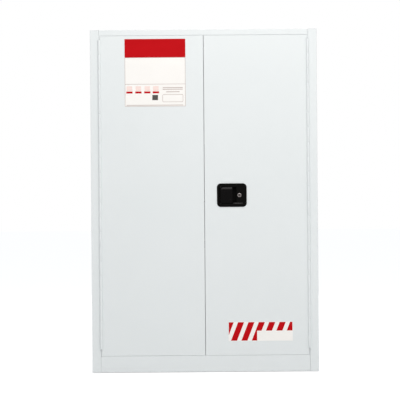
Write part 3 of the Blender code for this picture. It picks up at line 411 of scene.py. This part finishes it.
pianoHinge = {
    "pinX": 500.5 * mm, "pinY": -230.15 * mm, "radius": 6 * mm,
    "bottom": 115 * mm, "top": 1603 * mm, "knuckles": 21, "space": 0.6 * mm,
    "sides": 28, "rimEdge": 0.5 * mm, "rimSteps": 3, "leafEdge": 0.3 * mm,
    "leafSteps": 2,
    "leafNear": 0.2 * mm, "leafFar": 1.7 * mm, "leafFront": 6.3 * mm,
    "tabFront": 4 * mm, "tabOverlap": 1 * mm,
    "pinRadius": 2 * mm, "pinHead": 3.5 * mm, "pinDome": 2.2 * mm,
    "pinHeadHeight": 1.2 * mm, "pinHeadRim": 0.4 * mm, "pinSides": 24,
}


def hingeLeaf(node, side, outward, first):
    # Plate, tabs and rolled knuckles of one leaf. outward is 1 on the frame.
    hinge = pianoHinge
    pinX = side * hinge["pinX"]
    reach = side * outward
    near, far = sorted((pinX + reach * hinge["leafNear"],
                        pinX + reach * hinge["leafFar"]))
    low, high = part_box(node)
    plateY = hinge["pinY"] + hinge["leafFront"]
    pitch = (hinge["top"] - hinge["bottom"]) / hinge["knuckles"]
    bm = bmesh.new()
    addBlock(bm, (near, plateY, low.z), (far, high.y, high.z))
    spans = []
    for index in range(first, hinge["knuckles"], 2):
        start = hinge["bottom"] + index * pitch + hinge["space"] / 2
        spans.append((start, start + pitch - hinge["space"]))
    for start, end in spans:
        addBlock(bm, (near, hinge["pinY"] + hinge["tabFront"], start),
                 (far, plateY + hinge["tabOverlap"], end))
    roundEdges(bm, bm.edges[:], hinge["leafEdge"], hinge["leafSteps"])
    rims = []
    for start, end in spans:
        rolled = addBar(bm, (pinX, hinge["pinY"], (start + end) / 2), upAxis,
                        hinge["radius"], end - start, hinge["sides"])
        rims += [edge for edge in edgesOf(rolled) if not runsAlong(edge, 2)]
    roundEdges(bm, rims, hinge["rimEdge"], hinge["rimSteps"])
    # The leaves take the lightened hinge coat, which is painted light against the shade
    # at the knuckles.
    finishPiece(node + "_dressed", bm, hingePaintLightened, bodyOf[node],
                (node,))


def hingePin(node, side):
    hinge = pianoHinge
    length = hinge["top"] - hinge["bottom"]
    head = hinge["pinHeadHeight"]
    rim = hinge["pinHeadRim"]
    profile = [(0, -head), (hinge["pinDome"], -head), (hinge["pinHead"], -rim),
               (hinge["pinHead"], 0), (hinge["pinRadius"], 0),
               (hinge["pinRadius"], length), (hinge["pinHead"], length),
               (hinge["pinHead"], length + rim), (hinge["pinDome"], length + head),
               (0, length + head)]
    foot = (side * hinge["pinX"], hinge["pinY"], hinge["bottom"])
    turnedPiece(node + "_dressed", (profile, foot, upAxis), turnedSteel,
                bodyOf[node], hinge["pinSides"], (node,))


for label, side in (("left", -1), ("right", 1)):
    hingeLeaf(label + "_frame_leaf", side, 1, 0)
    hingeLeaf(label + "_door_leaf", side, -1, 1)
    hingePin(label + "_hinge_pin", side)
print("hinges made")


# Recessed handle

handlePan = {
    "left": 60 * mm, "right": 203 * mm, "bottom": 795.5 * mm, "top": 908.5 * mm,
    "front": -227.15 * mm, "thick": 3 * mm, "corner": 19 * mm,
    "cornerSteps": 12, "rim": 1.3 * mm, "rimSteps": 3, "border": 9.5 * mm,
    "borderSlope": 1.2 * mm, "faceSink": 0.8 * mm,
    "pocketLeft": 72 * mm, "pocketRight": 154 * mm, "pocketBottom": 812 * mm,
    "pocketTop": 892 * mm, "pocketBack": -201.85 * mm, "pocketCorner": 4 * mm,
    "pocketSteps": 5, "wall": 2 * mm, "over": 5 * mm,
    "lockX": 168 * mm, "lockZ": 852 * mm, "boss": 14 * mm, "bossDepth": 9 * mm,
    "lockHole": 8.5 * mm, "holeDepth": 40 * mm, "sides": 48,
    "stepLeft": 145 * mm, "stepRight": 186 * mm, "stepSink": 1.9 * mm,
    "stepCorner": 2 * mm, "stepSteps": 4,
    "slotLeft": 74 * mm, "slotRight": 103 * mm, "slotBottom": 825 * mm,
    "slotTop": 843 * mm, "slotCorner": 1 * mm, "slotSteps": 2,
    "edge": 0.45 * mm, "frontFacing": -0.9,
}


def roundedBlock(low, high, radius, steps):
    # A box whose edges along Y are rounded.
    bm = bmesh.new()
    addBlock(bm, low, high)
    roundEdges(bm, [edge for edge in bm.edges if runsAlong(edge, 1)], radius, steps)
    return bm


def handleHousing():
    # A tray with a raised border, a pocket for the fingers and a boss for the
    # lock behind it.
    pan = handlePan
    back = pan["front"] + pan["thick"]
    inside = back - pan["thick"] / 2
    outside = pan["front"] - pan["over"]
    bm = roundedBlock((pan["left"], pan["front"], pan["bottom"]),
                      (pan["right"], back, pan["top"]),
                      pan["corner"], pan["cornerSteps"])
    bm.normal_update()
    face = min(bm.faces, key=lambda each: each.calc_center_median().y)
    roundEdges(bm, list(face.edges), pan["rim"], pan["rimSteps"])
    bm.normal_update()
    face = max((each for each in bm.faces if each.normal.y < pan["frontFacing"]),
               key=lambda each: each.calc_area())
    bmesh.ops.inset_region(bm, faces=[face], thickness=pan["border"])
    bmesh.ops.inset_region(bm, faces=[face], thickness=pan["borderSlope"],
                           depth=-pan["faceSink"])
    made = finishPiece("handle_housing_dressed", bm, handlePlastic, "right_door",
                       ("handle_housing",))
    wall = pan["wall"]
    carve(made, roundedBlock(
        (pan["pocketLeft"] - wall, inside, pan["pocketBottom"] - wall),
        (pan["pocketRight"] + wall, pan["pocketBack"] + wall, pan["pocketTop"] + wall),
        pan["pocketCorner"] + wall, pan["pocketSteps"]), 'UNION')
    carve(made, barAlong((pan["lockX"], inside, pan["lockZ"]), (0, 1, 0),
                         pan["boss"], pan["bossDepth"], pan["sides"]), 'UNION')
    carve(made, roundedBlock(
        (pan["pocketLeft"], outside, pan["pocketBottom"]),
        (pan["pocketRight"], pan["pocketBack"], pan["pocketTop"]),
        pan["pocketCorner"], pan["pocketSteps"]))
    carve(made, roundedBlock(
        (pan["stepLeft"], outside, pan["pocketBottom"]),
        (pan["stepRight"], pan["front"] + pan["stepSink"], pan["pocketTop"]),
        pan["stepCorner"], pan["stepSteps"]))
    carve(made, barAlong((pan["lockX"], outside, pan["lockZ"]), (0, 1, 0),
                         pan["lockHole"], pan["holeDepth"], pan["sides"]))
    carve(made, roundedBlock(
        (pan["slotLeft"], pan["pocketBack"] - pan["over"], pan["slotBottom"]),
        (pan["slotRight"], pan["pocketBack"] + pan["over"], pan["slotTop"]),
        pan["slotCorner"], pan["slotSteps"]))
    softenEdges(made, pan["edge"])


handleHousing()

handleLip = {
    "left": 137.5 * mm, "right": 184 * mm, "bottom": 810 * mm, "top": 815.5 * mm,
    "lean": 1.9 * mm, "edge": 0.3 * mm, "edgeSteps": 2,
}


def lipUnderLock():
    # A sloping lip under the lock, which catches the light from above. Its lighter
    # plastic is a painted highlight.
    lip = handleLip
    front = handlePan["front"]
    bm = bmesh.new()
    addBlock(bm, (lip["left"], front, lip["bottom"]),
             (lip["right"], front + handlePan["thick"], lip["top"]))
    for vert in bm.verts:
        if vert.co.z > lip["top"] - mm and vert.co.y < front + mm:
            vert.co.y += lip["lean"]
    roundEdges(bm, bm.edges[:], lip["edge"], lip["edgeSteps"])
    finishPiece("handle_lip", bm, highlightPaintedPlastic, "right_door")


lipUnderLock()

pullPaddle = {
    "left": 75.8 * mm, "right": 136 * mm, "bottom": 814 * mm, "top": 890 * mm,
    "front": -226.55 * mm, "sheet": 3.2 * mm, "lip": 13 * mm, "bend": 4 * mm,
    "bendSteps": 6, "slopeHeight": 10 * mm, "slopeSink": 3.6 * mm,
    "slopeLeft": 11 * mm, "slopeRight": 1.5 * mm,
    "pinX": 79 * mm, "pinY": -219.85 * mm, "eye": 5 * mm, "eyeGap": 0.7 * mm,
    "eyeSides": 24, "tailLow": (79 * mm, -217.35 * mm, 827 * mm),
    "tailHigh": (83.5 * mm, -201.35 * mm, 841 * mm), "edge": 0.6 * mm,
    "edgeSegments": 3, "edgeAngle": 40, "crownFacing": -0.7,
}


def bentPaddle():
    # One moulded flap: flat front, sloped top edge that catches the light,
    # and a lip for the fingers on the right.
    flap = pullPaddle
    bm = bmesh.new()
    points = [(flap["left"], flap["front"])]
    centre = (flap["right"] - flap["bend"], flap["front"] + flap["bend"])
    for step in range(flap["bendSteps"] + 1):
        angle = math.radians(-90 + 90 * step / flap["bendSteps"])
        points.append((centre[0] + flap["bend"] * math.cos(angle),
                       centre[1] + flap["bend"] * math.sin(angle)))
    points.append((flap["right"], flap["front"] + flap["lip"]))
    line = [bm.verts.new((x, y, flap["bottom"])) for x, y in points]
    edges = [bm.edges.new(pair) for pair in zip(line, line[1:])]
    first = bmesh.ops.extrude_edge_only(bm, edges=edges)["geom"]
    raised = [item for item in first if isinstance(item, bmesh.types.BMVert)]
    body = flap["top"] - flap["bottom"] - flap["slopeHeight"]
    bmesh.ops.translate(bm, verts=raised, vec=(0, 0, body))
    rim = [item for item in first if isinstance(item, bmesh.types.BMEdge)
           and all(vert in raised for vert in item.verts)]
    second = bmesh.ops.extrude_edge_only(bm, edges=rim)["geom"]
    crown = [item for item in second if isinstance(item, bmesh.types.BMVert)]
    width = flap["right"] - flap["left"]
    for vert in crown:
        across = (vert.co.x - flap["left"]) / width
        back = (vert.co.y - flap["front"]) / flap["lip"]
        vert.co.z += flap["slopeHeight"]
        vert.co.y += flap["slopeSink"] * (1 - back)
        vert.co.x += flap["slopeLeft"] * (1 - across) - flap["slopeRight"] * across
    recalculated(bm)
    outward = [face for face in bm.faces if face.calc_center_median().y
               < flap["front"] + flap["sheet"] / 2]
    if outward[0].normal.y > 0:
        bmesh.ops.reverse_faces(bm, faces=bm.faces)
    bmesh.ops.solidify(bm, geom=bm.faces[:], thickness=flap["sheet"])
    recalculated(bm)
    made = finishPiece("paddle_dressed", bm, paddlePlastic, "paddle",
                       ("paddle",))
    # The sloped top edge gets the lighter plastic, which is a painted highlight.
    made.data.materials.append(highlightPaintedPlastic)
    crownLow = flap["top"] - flap["slopeHeight"]
    for face in made.data.polygons:
        if face.center.z > crownLow and face.normal.y < flap["crownFacing"]:
            face.material_index = 1
    softenEdges(made, flap["edge"], flap["edgeSegments"], flap["edgeAngle"])


def paddleTail():
    # The eye that turns on the pin, and the tail that works the cam.
    flap = pullPaddle
    low = handlePan["pocketBottom"] + flap["eyeGap"]
    length = handlePan["pocketTop"] - flap["eyeGap"] - low
    eye = [(0, 0), (flap["eye"], 0), (flap["eye"], length), (0, length)]
    bm = turnedBody(eye, (flap["pinX"], flap["pinY"], low), upAxis, flap["eyeSides"])
    addBlock(bm, flap["tailLow"], flap["tailHigh"])
    finishPiece("paddle_tail", recalculated(bm), handlePlastic, "paddle")


bentPaddle()
paddleTail()

keyLock = {
    "x": 168 * mm, "z": 852 * mm, "seat": -226.25 * mm, "proud": 2.2 * mm,
    "bore": 6.1 * mm, "barrel": 8.2 * mm, "flange": 9.2 * mm, "rim": 0.5 * mm,
    "depth": 18 * mm, "plug": 5.6 * mm, "dish": 4.2 * mm, "dishSink": 1.1 * mm,
    "plugFront": -228.15 * mm, "tongueWidth": 6 * mm, "tongueLength": 10.5 * mm,
    "tongueThick": 2 * mm, "keyWidth": 1.6 * mm, "keyHeight": 8 * mm,
    "keyDepth": 5 * mm, "steps": 56,
}


def keyLockPieces():
    lock = keyLock
    proud = -lock["proud"]
    rim = lock["rim"]
    barrel = [(lock["bore"], proud + rim), (lock["bore"] + rim, proud),
              (lock["flange"] - 2 * rim, proud), (lock["flange"], proud + 1.5 * rim),
              (lock["flange"], 0), (lock["barrel"], 0),
              (lock["barrel"], lock["depth"]), (lock["bore"], lock["depth"]),
              (lock["bore"], proud + rim)]
    turnedPiece("lock_barrel_dressed",
                (barrel, (lock["x"], lock["seat"], lock["z"]), (0, 1, 0)),
                lockChrome, "right_door", lock["steps"], ("lock_barrel",))
    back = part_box("lock_plug")[1].y
    length = back - lock["plugFront"]
    plug = [(0, lock["dishSink"]), (lock["dish"] - rim, lock["dishSink"]),
            (lock["dish"], 0), (lock["plug"] - rim / 2, 0),
            (lock["plug"], rim / 2), (lock["plug"], length), (0, length)]
    # The plug takes the darker metal, which is painted shade in the lock's centre.
    made = turnedPiece("lock_plug_dressed",
                       (plug, (lock["x"], lock["plugFront"], lock["z"]), (0, 1, 0)),
                       plugMetalPaintedShade, "lock_plug", lock["steps"],
                       ("lock_plug",))
    keyway = bmesh.new()
    addBlock(keyway, (lock["x"] - lock["keyWidth"] / 2, lock["plugFront"] - mm,
                      lock["z"] - lock["keyHeight"] / 2),
             (lock["x"] + lock["keyWidth"] / 2, lock["plugFront"] + lock["keyDepth"],
              lock["z"] + lock["keyHeight"] / 2))
    carve(made, keyway)
    tongue = bmesh.new()
    addBlock(tongue, (lock["x"] - lock["tongueWidth"] / 2,
                      back - lock["tongueThick"], lock["z"] - lock["tongueLength"]),
             (lock["x"] + lock["tongueWidth"] / 2, back, lock["z"]))
    carve(made, tongue, 'UNION')


keyLockPieces()
print("handle and lock made")


# Capped vents, earthing stud and feet

ventFitting = {
    "capUnder": 549.1 * mm, "capThick": 6 * mm, "capRadius": 36 * mm,
    "capRim": 1.2 * mm, "plugOuter": 24.4 * mm, "plugInner": 23.1 * mm,
    "plugDepth": 12 * mm, "socket": 7 * mm, "socketDepth": 4 * mm,
    "socketSides": 6, "flutes": 12, "fluteRadius": 4.5 * mm,
    "fluteCentre": 38.5 * mm, "fluteLength": 24 * mm, "fluteSides": 24,
    "capEdge": 0.4 * mm, "cornerShare": 0.3,
    "bore": 25 * mm, "tube": 28 * mm, "collar": 40 * mm, "collarEdge": 0.8 * mm,
    "tubeEnd": 500.6 * mm, "collarUnder": 545.3 * mm, "collarTop": 548.8 * mm,
    "y": 9.15 * mm, "steps": 64, "heights": {"low": 185 * mm, "high": 1500 * mm},
}


def ventPieces(label, side):
    vent = ventFitting
    height = vent["heights"][label]
    out = (side, 0, 0)
    under = (side * vent["capUnder"], vent["y"], height)
    rim = vent["capRim"]
    corner = vent["cornerShare"] * rim
    cap = [(0, 0), (vent["plugInner"], 0), (vent["plugInner"], -vent["plugDepth"]),
           (vent["plugOuter"], -vent["plugDepth"]), (vent["plugOuter"], 0),
           (vent["capRadius"] - rim / 2, 0), (vent["capRadius"], rim / 2),
           (vent["capRadius"], vent["capThick"] - rim),
           (vent["capRadius"] - corner, vent["capThick"] - corner),
           (vent["capRadius"] - rim, vent["capThick"]), (0, vent["capThick"])]
    node = "vent_cap_" + label
    made = turnedPiece(node + "_dressed", (cap, under, out), zincPlate, node,
                       vent["steps"], (node,))
    cutters = bmesh.new()
    for number in range(vent["flutes"]):
        angle = math.tau * number / vent["flutes"]
        middle = (side * (vent["capUnder"] + vent["capThick"] / 2),
                  vent["y"] + vent["fluteCentre"] * math.cos(angle),
                  height + vent["fluteCentre"] * math.sin(angle))
        addBar(cutters, middle, out, vent["fluteRadius"], vent["fluteLength"],
               vent["fluteSides"])
    carve(made, cutters)
    top = side * (vent["capUnder"] + vent["capThick"] - vent["socketDepth"])
    carve(made, barAlong((top, vent["y"], height), out, vent["socket"],
                         2 * vent["socketDepth"], vent["socketSides"]))
    softenEdges(made, vent["capEdge"])
    end = vent["tubeEnd"]
    edge = vent["collarEdge"]
    tube = [(vent["bore"], 0), (vent["tube"], 0),
            (vent["tube"], vent["collarUnder"] - end),
            (vent["collar"], vent["collarUnder"] - end),
            (vent["collar"], vent["collarTop"] - end - edge),
            (vent["collar"] - edge, vent["collarTop"] - end),
            (vent["bore"], vent["collarTop"] - end), (vent["bore"], 0)]
    node = "vent_tube_" + label
    turnedPiece(node + "_dressed", (tube, (side * end, vent["y"], height), out),
                zincPlate, bodyOf[node], vent["steps"], (node,))


ventPieces("low", -1)
ventPieces("high", 1)

threadedParts = {
    "studRadius": 4 * mm, "studPitch": 1.25 * mm, "threadDepth": 0.4 * mm,
    "nutRadius": 8 * mm, "nutThick": 5.5 * mm, "outerNut": 545.3 * mm,
    "innerNut": 538 * mm, "nutEdge": 0.5 * mm, "nutEdgeSteps": 2, "nutSides": 6,
    "footPad": 19 * mm, "footHeight": 6 * mm, "footTaper": 3 * mm,
    "footRim": 0.8 * mm,
    "footScrew": 5 * mm, "footPitch": 1.5 * mm, "footTop": 62 * mm,
    "steps": 40,
}


def threadProfile(radius, depth, pitch, start, end):
    # Ridges and grooves from start to end. They are rings, not a helix, which
    # looks the same at this size.
    turns = round((end - start) / pitch)
    step = (end - start) / turns
    points = []
    for turn in range(turns):
        points.append((radius - depth, start + turn * step))
        points.append((radius, start + (turn + 0.5) * step))
    points.append((radius - depth, end))
    return points


def groundStud():
    parts = threadedParts
    low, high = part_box("ground_stud")
    middle = (low + high) / 2
    profile = [(0, 0)] + threadProfile(parts["studRadius"], parts["threadDepth"],
                                       parts["studPitch"], 0, high.x - low.x)
    profile.append((0, high.x - low.x))
    along = (1, 0, 0)
    bm = recalculated(turnedBody(profile, (low.x, middle.y, middle.z), along,
                                 parts["steps"]))
    for start in (parts["outerNut"], parts["innerNut"]):
        nut = addBar(bm, (start + parts["nutThick"] / 2, middle.y, middle.z), along,
                     parts["nutRadius"], parts["nutThick"], parts["nutSides"])
        roundEdges(bm, edgesOf(nut), parts["nutEdge"], parts["nutEdgeSteps"])
    finishPiece("ground_stud_dressed", bm, turnedSteel, "cabinet",
                ("ground_stud",))


def levellingFoot(node):
    parts = threadedParts
    low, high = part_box(node)
    middle = (low + high) / 2
    rim = parts["footRim"]
    profile = [(0, 0), (parts["footPad"] - rim, 0), (parts["footPad"], rim),
               (parts["footPad"], parts["footHeight"] - parts["footTaper"]),
               (parts["footPad"] - parts["footTaper"], parts["footHeight"])]
    profile += threadProfile(parts["footScrew"], parts["threadDepth"],
                             parts["footPitch"], parts["footHeight"],
                             parts["footTop"])
    profile.append((0, parts["footTop"]))
    turnedPiece(node + "_dressed", (profile, (middle.x, middle.y, 0), upAxis),
                zincPlate, node, parts["steps"], (node,))


groundStud()
for number in range(1, 5):
    levellingFoot("foot_" + str(number))
print("vents, stud and feet made")


# Blank label on the left door and stripe panel on the right

doorFront = -223.85 * mm
printWork = {
    "vinyl": 0.20 * mm, "lift": 0.05 * mm, "ink": 0.06 * mm, "cornerSteps": 4,
    "outlineSteps": 5,
}


def addPatch(bm, left, bottom, right, top, layer, radius=0.0):
    # A flat printed patch on the door front. Layer 0 is the vinyl itself.
    back = doorFront - printWork["lift"]
    if layer:
        back -= printWork["vinyl"] + (layer - 1) * printWork["ink"]
    front = back - (printWork["ink"] if layer else printWork["vinyl"])
    made = addBlock(bm, (left, front, bottom), (right, back, top))
    if radius:
        roundEdges(bm, [edge for edge in edgesOf(made) if runsAlong(edge, 1)], radius,
                   printWork["cornerSteps"])


def addLine(bm, left, right, z, thick, radius=0.0):
    addPatch(bm, left, z - thick / 2, right, z + thick / 2, 1, radius)


def joinInto(bm, made):
    mesh = bpy.data.meshes.new("joined")
    made.to_mesh(mesh)
    made.free()
    bm.from_mesh(mesh)
    bpy.data.meshes.remove(mesh)


def addOutline(bm, left, bottom, right, top, line, layer, radius):
    # A thin rounded frame: a flat face, its corners rounded, inset and opened.
    ring = bmesh.new()
    made = bmesh.ops.create_grid(ring, x_segments=1, y_segments=1, size=0.5)["verts"]
    bmesh.ops.scale(ring, verts=made, vec=(right - left, top - bottom, 1))
    bmesh.ops.bevel(ring, geom=made, offset=radius, offset_type='OFFSET',
                    affect='VERTICES', segments=printWork["outlineSteps"],
                    profile=0.5, material=-1)
    middle = ring.faces[:]
    bmesh.ops.inset_region(ring, faces=middle, thickness=line, use_boundary=True)
    bmesh.ops.delete(ring, geom=middle, context='FACES')
    y = doorFront - printWork["lift"] - printWork["vinyl"] - layer * printWork["ink"]
    place = Matrix.Translation(((left + right) / 2, y, (bottom + top) / 2))
    bmesh.ops.transform(ring, verts=ring.verts,
                        matrix=place @ Matrix.Rotation(math.radians(90), 4, 'X'))
    bmesh.ops.solidify(ring, geom=ring.faces[:], thickness=printWork["ink"])
    joinInto(bm, ring)


doorLabel = {
    "left": -379 * mm, "right": -86.5 * mm, "bottom": 1281 * mm, "top": 1606 * mm,
    "corner": 2 * mm, "bandBottom": 1517 * mm, "line": 1.8 * mm,
    "lineInset": 0.4 * mm, "ruleZ": 1388.5 * mm, "ruleThick": 1.8 * mm,
    "ruleInset": 2 * mm, "barZ": 1349 * mm, "barHeight": 9.5 * mm,
    "barWidth": 30.5 * mm, "barCorner": 0.8 * mm,
    "barLefts": (-372 * mm, -329 * mm, -286 * mm, -245 * mm),
    "tintBottom": 1355 * mm, "tintTop": 1379 * mm, "tintInset": 2 * mm,
    "tintCorner": 1.5 * mm, "squareCorner": 1 * mm,
    "square": (-247 * mm, 1311.5 * mm, -219.5 * mm, 1336.5 * mm),
    "box": (-198 * mm, 1302 * mm, -98.5 * mm, 1338.5 * mm), "boxCorner": 5 * mm,
    "lines": ((-197 * mm, -100 * mm, 1371 * mm), (-197 * mm, -100 * mm, 1363.5 * mm),
              (-181 * mm, -116 * mm, 1351 * mm)),
    "lineThick": 3.2 * mm,
    "footLine": (-371 * mm, -99 * mm, 1287.5 * mm), "footThick": 2.6 * mm,
}


def blankLabel():
    label = doorLabel
    left, right = label["left"], label["right"]
    bottom, top = label["bottom"], label["top"]
    vinyl = bmesh.new()
    addPatch(vinyl, left, bottom, right, top, 0, label["corner"])
    finishPiece("label_vinyl", vinyl, labelVinyl, "left_door")
    red = bmesh.new()
    addPatch(red, left, label["bandBottom"], right, top, 1, label["corner"])
    for barLeft in label["barLefts"]:
        addLine(red, barLeft, barLeft + label["barWidth"], label["barZ"],
                label["barHeight"], label["barCorner"])
    finishPiece("label_red_print", red, redInk, "left_door")
    pale = bmesh.new()
    for barLeft in label["barLefts"]:
        addPatch(pale, barLeft + label["tintInset"], label["tintBottom"],
                 barLeft + label["barWidth"] - label["tintInset"], label["tintTop"],
                 1, label["tintCorner"])
    finishPiece("label_pale_print", pale, paleInk, "left_door")
    grey = bmesh.new()
    inset = label["lineInset"]
    addOutline(grey, left + inset, bottom + inset, right - inset,
               label["bandBottom"] - inset, label["line"], 1, label["corner"])
    addOutline(grey, *label["box"], label["line"], 1, label["boxCorner"])
    addLine(grey, left + label["ruleInset"], right - label["ruleInset"],
            label["ruleZ"], label["ruleThick"])
    addLine(grey, *label["footLine"], label["footThick"])
    for line in label["lines"]:
        addLine(grey, *line, label["lineThick"])
    finishPiece("label_grey_print", recalculated(grey), greyInk, "left_door")
    dark = bmesh.new()
    addPatch(dark, *label["square"], 1, label["squareCorner"])
    finishPiece("label_dark_print", dark, darkInk, "left_door")


blankLabel()

stripePanel = {
    "left": 111.8 * mm, "right": 418 * mm, "bottom": 152 * mm,
    "top": 240.7 * mm, "margin": 1.5 * mm, "corner": 1.5 * mm,
    "topStart": -5.2 * mm, "pitch": 50 * mm, "width": 29.3 * mm,
    "slope": 0.39, "cutX": 248 * mm, "cutZ": 199.2 * mm,
}


def addStripe(bm, topLeft, low, high, clipLeft, clipRight):
    # One slanted stripe, sheared and then trimmed at the panel's edges.
    panel = stripePanel
    stripe = bmesh.new()
    addPatch(stripe, topLeft, low, topLeft + panel["width"], high, 1)
    for vert in stripe.verts:
        vert.co.x -= panel["slope"] * (panel["top"] - vert.co.z)
    for x, way in ((clipLeft, -1), (clipRight, 1)):
        geom = stripe.verts[:] + stripe.edges[:] + stripe.faces[:]
        cut = bmesh.ops.bisect_plane(stripe, geom=geom, plane_co=(x, 0, 0),
                                     plane_no=(way, 0, 0), clear_outer=True)
        rim = [item for item in cut["geom_cut"] if isinstance(item, bmesh.types.BMEdge)]
        bmesh.ops.holes_fill(stripe, edges=rim, sides=0)
    joinInto(bm, recalculated(stripe))


def stripePieces():
    panel = stripePanel
    margin = panel["margin"]
    base = bmesh.new()
    addPatch(base, panel["left"] - margin, panel["bottom"] - margin,
             panel["right"] + margin, panel["top"] + margin, 0, panel["corner"])
    finishPiece("stripe_panel_vinyl", base, labelVinyl, "right_door")
    red = bmesh.new()
    lean = panel["slope"] * (panel["top"] - panel["bottom"])
    count = int((panel["right"] - panel["left"] + lean) / panel["pitch"]) + 2
    for number in range(count):
        start = panel["left"] + panel["topStart"] + number * panel["pitch"]
        addStripe(red, start, panel["bottom"], panel["top"], panel["left"],
                  panel["cutX"])
        addStripe(red, start, panel["cutZ"], panel["top"], panel["cutX"],
                  panel["right"])
    finishPiece("stripe_panel_print", red, redInk, "right_door")


stripePieces()
print("label and stripes made")


# Floor, light and camera

studio = {
    "white": "#FFFFFF", "ambient": 0.59, "ambientColour": "#F5F8FB",
    "floorColour": "#E0E0E0", "floorGlow": 0.58, "floorSize": 60,
    "lampColour": (1, 0.985, 0.945),
}

# Each lamp's name, power in watts, size, place and aim.
studioLamps = (
    ("key_lamp", 78, 2.4, (0.3, -3.4, 3.4), (0, 0, 1.2)),
    ("fill_lamp", 16, 3.0, (2.6, -4.6, 1.6), (0, 0, 0.8)),
    ("top_lamp", 14, 2.5, (0, 1.4, 3.8), (0, 0, 1.6)),
    ("back_lamp", 45, 3.0, (-0.8, 4.2, 2.6), (0, 0, 1.0)),
)


def seenRays(tree):
    # 1 for rays that the eye, a gloss or a glass sees, 0 for soft light.
    path = addNode(tree, "ShaderNodeLightPath")
    first = addNode(tree, "ShaderNodeMath", {"operation": 'MAXIMUM'},
                    {0: path.outputs["Is Camera Ray"],
                     1: path.outputs["Is Glossy Ray"]})
    both = addNode(tree, "ShaderNodeMath", {"operation": 'MAXIMUM'},
                   {0: first.outputs[0], 1: path.outputs["Is Transmission Ray"]})
    return both.outputs[0]


def makeWorld():
    world = bpy.data.worlds.new("studio_world")
    bpy.context.scene.world = world
    world.use_nodes = True
    tree = world.node_tree
    tree.nodes.clear()
    soft = addNode(tree, "ShaderNodeBackground",
                   {"Color": linearColour(studio["ambientColour"]),
                    "Strength": studio["ambient"]})
    seen = addNode(tree, "ShaderNodeBackground",
                   {"Color": linearColour(studio["white"]), "Strength": 1.0})
    mix = addNode(tree, "ShaderNodeMixShader", {},
                  {0: seenRays(tree), 1: soft.outputs[0], 2: seen.outputs[0]})
    addNode(tree, "ShaderNodeOutputWorld", {}, {"Surface": mix.outputs[0]})


def makeFloor():
    bm = bmesh.new()
    bmesh.ops.create_grid(bm, x_segments=1, y_segments=1, size=studio["floorSize"] / 2)
    mesh = bpy.data.meshes.new("studio_floor")
    bm.to_mesh(mesh)
    bm.free()
    floor = bpy.data.objects.new("studio_floor", mesh)
    bpy.context.scene.collection.objects.link(floor)
    surface = bpy.data.materials.new("white_studio_floor")
    surface.use_nodes = True
    tree = surface.node_tree
    tree.nodes.clear()
    matte = addNode(tree, "ShaderNodeBsdfDiffuse",
                    {"Color": linearColour(studio["floorColour"])})
    glow = addNode(tree, "ShaderNodeEmission", {"Strength": studio["floorGlow"]})
    added = addNode(tree, "ShaderNodeAddShader", {},
                    {0: matte.outputs[0], 1: glow.outputs[0]})
    mix = addNode(tree, "ShaderNodeMixShader", {},
                  {0: seenRays(tree), 1: matte.outputs[0], 2: added.outputs[0]})
    addNode(tree, "ShaderNodeOutputMaterial", {}, {"Surface": mix.outputs[0]})
    mesh.materials.append(surface)


def softLamp(name, power, size, place, aim):
    lamp = bpy.data.lights.new(name, 'AREA')
    lamp.energy = power
    lamp.size = size
    lamp.color = studio["lampColour"]
    made = bpy.data.objects.new(name, lamp)
    made.location = place
    view = Vector(aim) - Vector(place)
    made.rotation_euler = view.to_track_quat('-Z', 'Y').to_euler()
    bpy.context.scene.collection.objects.link(made)


makeWorld()
makeFloor()
for lamp in studioLamps:
    softLamp(*lamp)

photoCamera = {
    "lens": 120.0, "sensor": 36.0, "distance": 6.41, "roll": -0.45,
    "aimX": -0.0216, "aimZ": 0.8298, "clipEnd": 200,
}
lens = bpy.data.cameras.new("photo_camera")
lens.lens = photoCamera["lens"]
lens.sensor_width = photoCamera["sensor"]
lens.clip_end = photoCamera["clipEnd"]
camera = bpy.data.objects.new("photo_camera", lens)
camera.matrix_world = (
    Matrix.Translation((photoCamera["aimX"], doorFront - photoCamera["distance"],
                        photoCamera["aimZ"]))
    @ Matrix.Rotation(math.radians(90), 4, 'X')
    @ Matrix.Rotation(math.radians(photoCamera["roll"]), 4, 'Z'))
bpy.context.scene.collection.objects.link(camera)
bpy.context.scene.camera = camera
bpy.context.scene.view_settings.view_transform = 'Standard'
print("studio set")
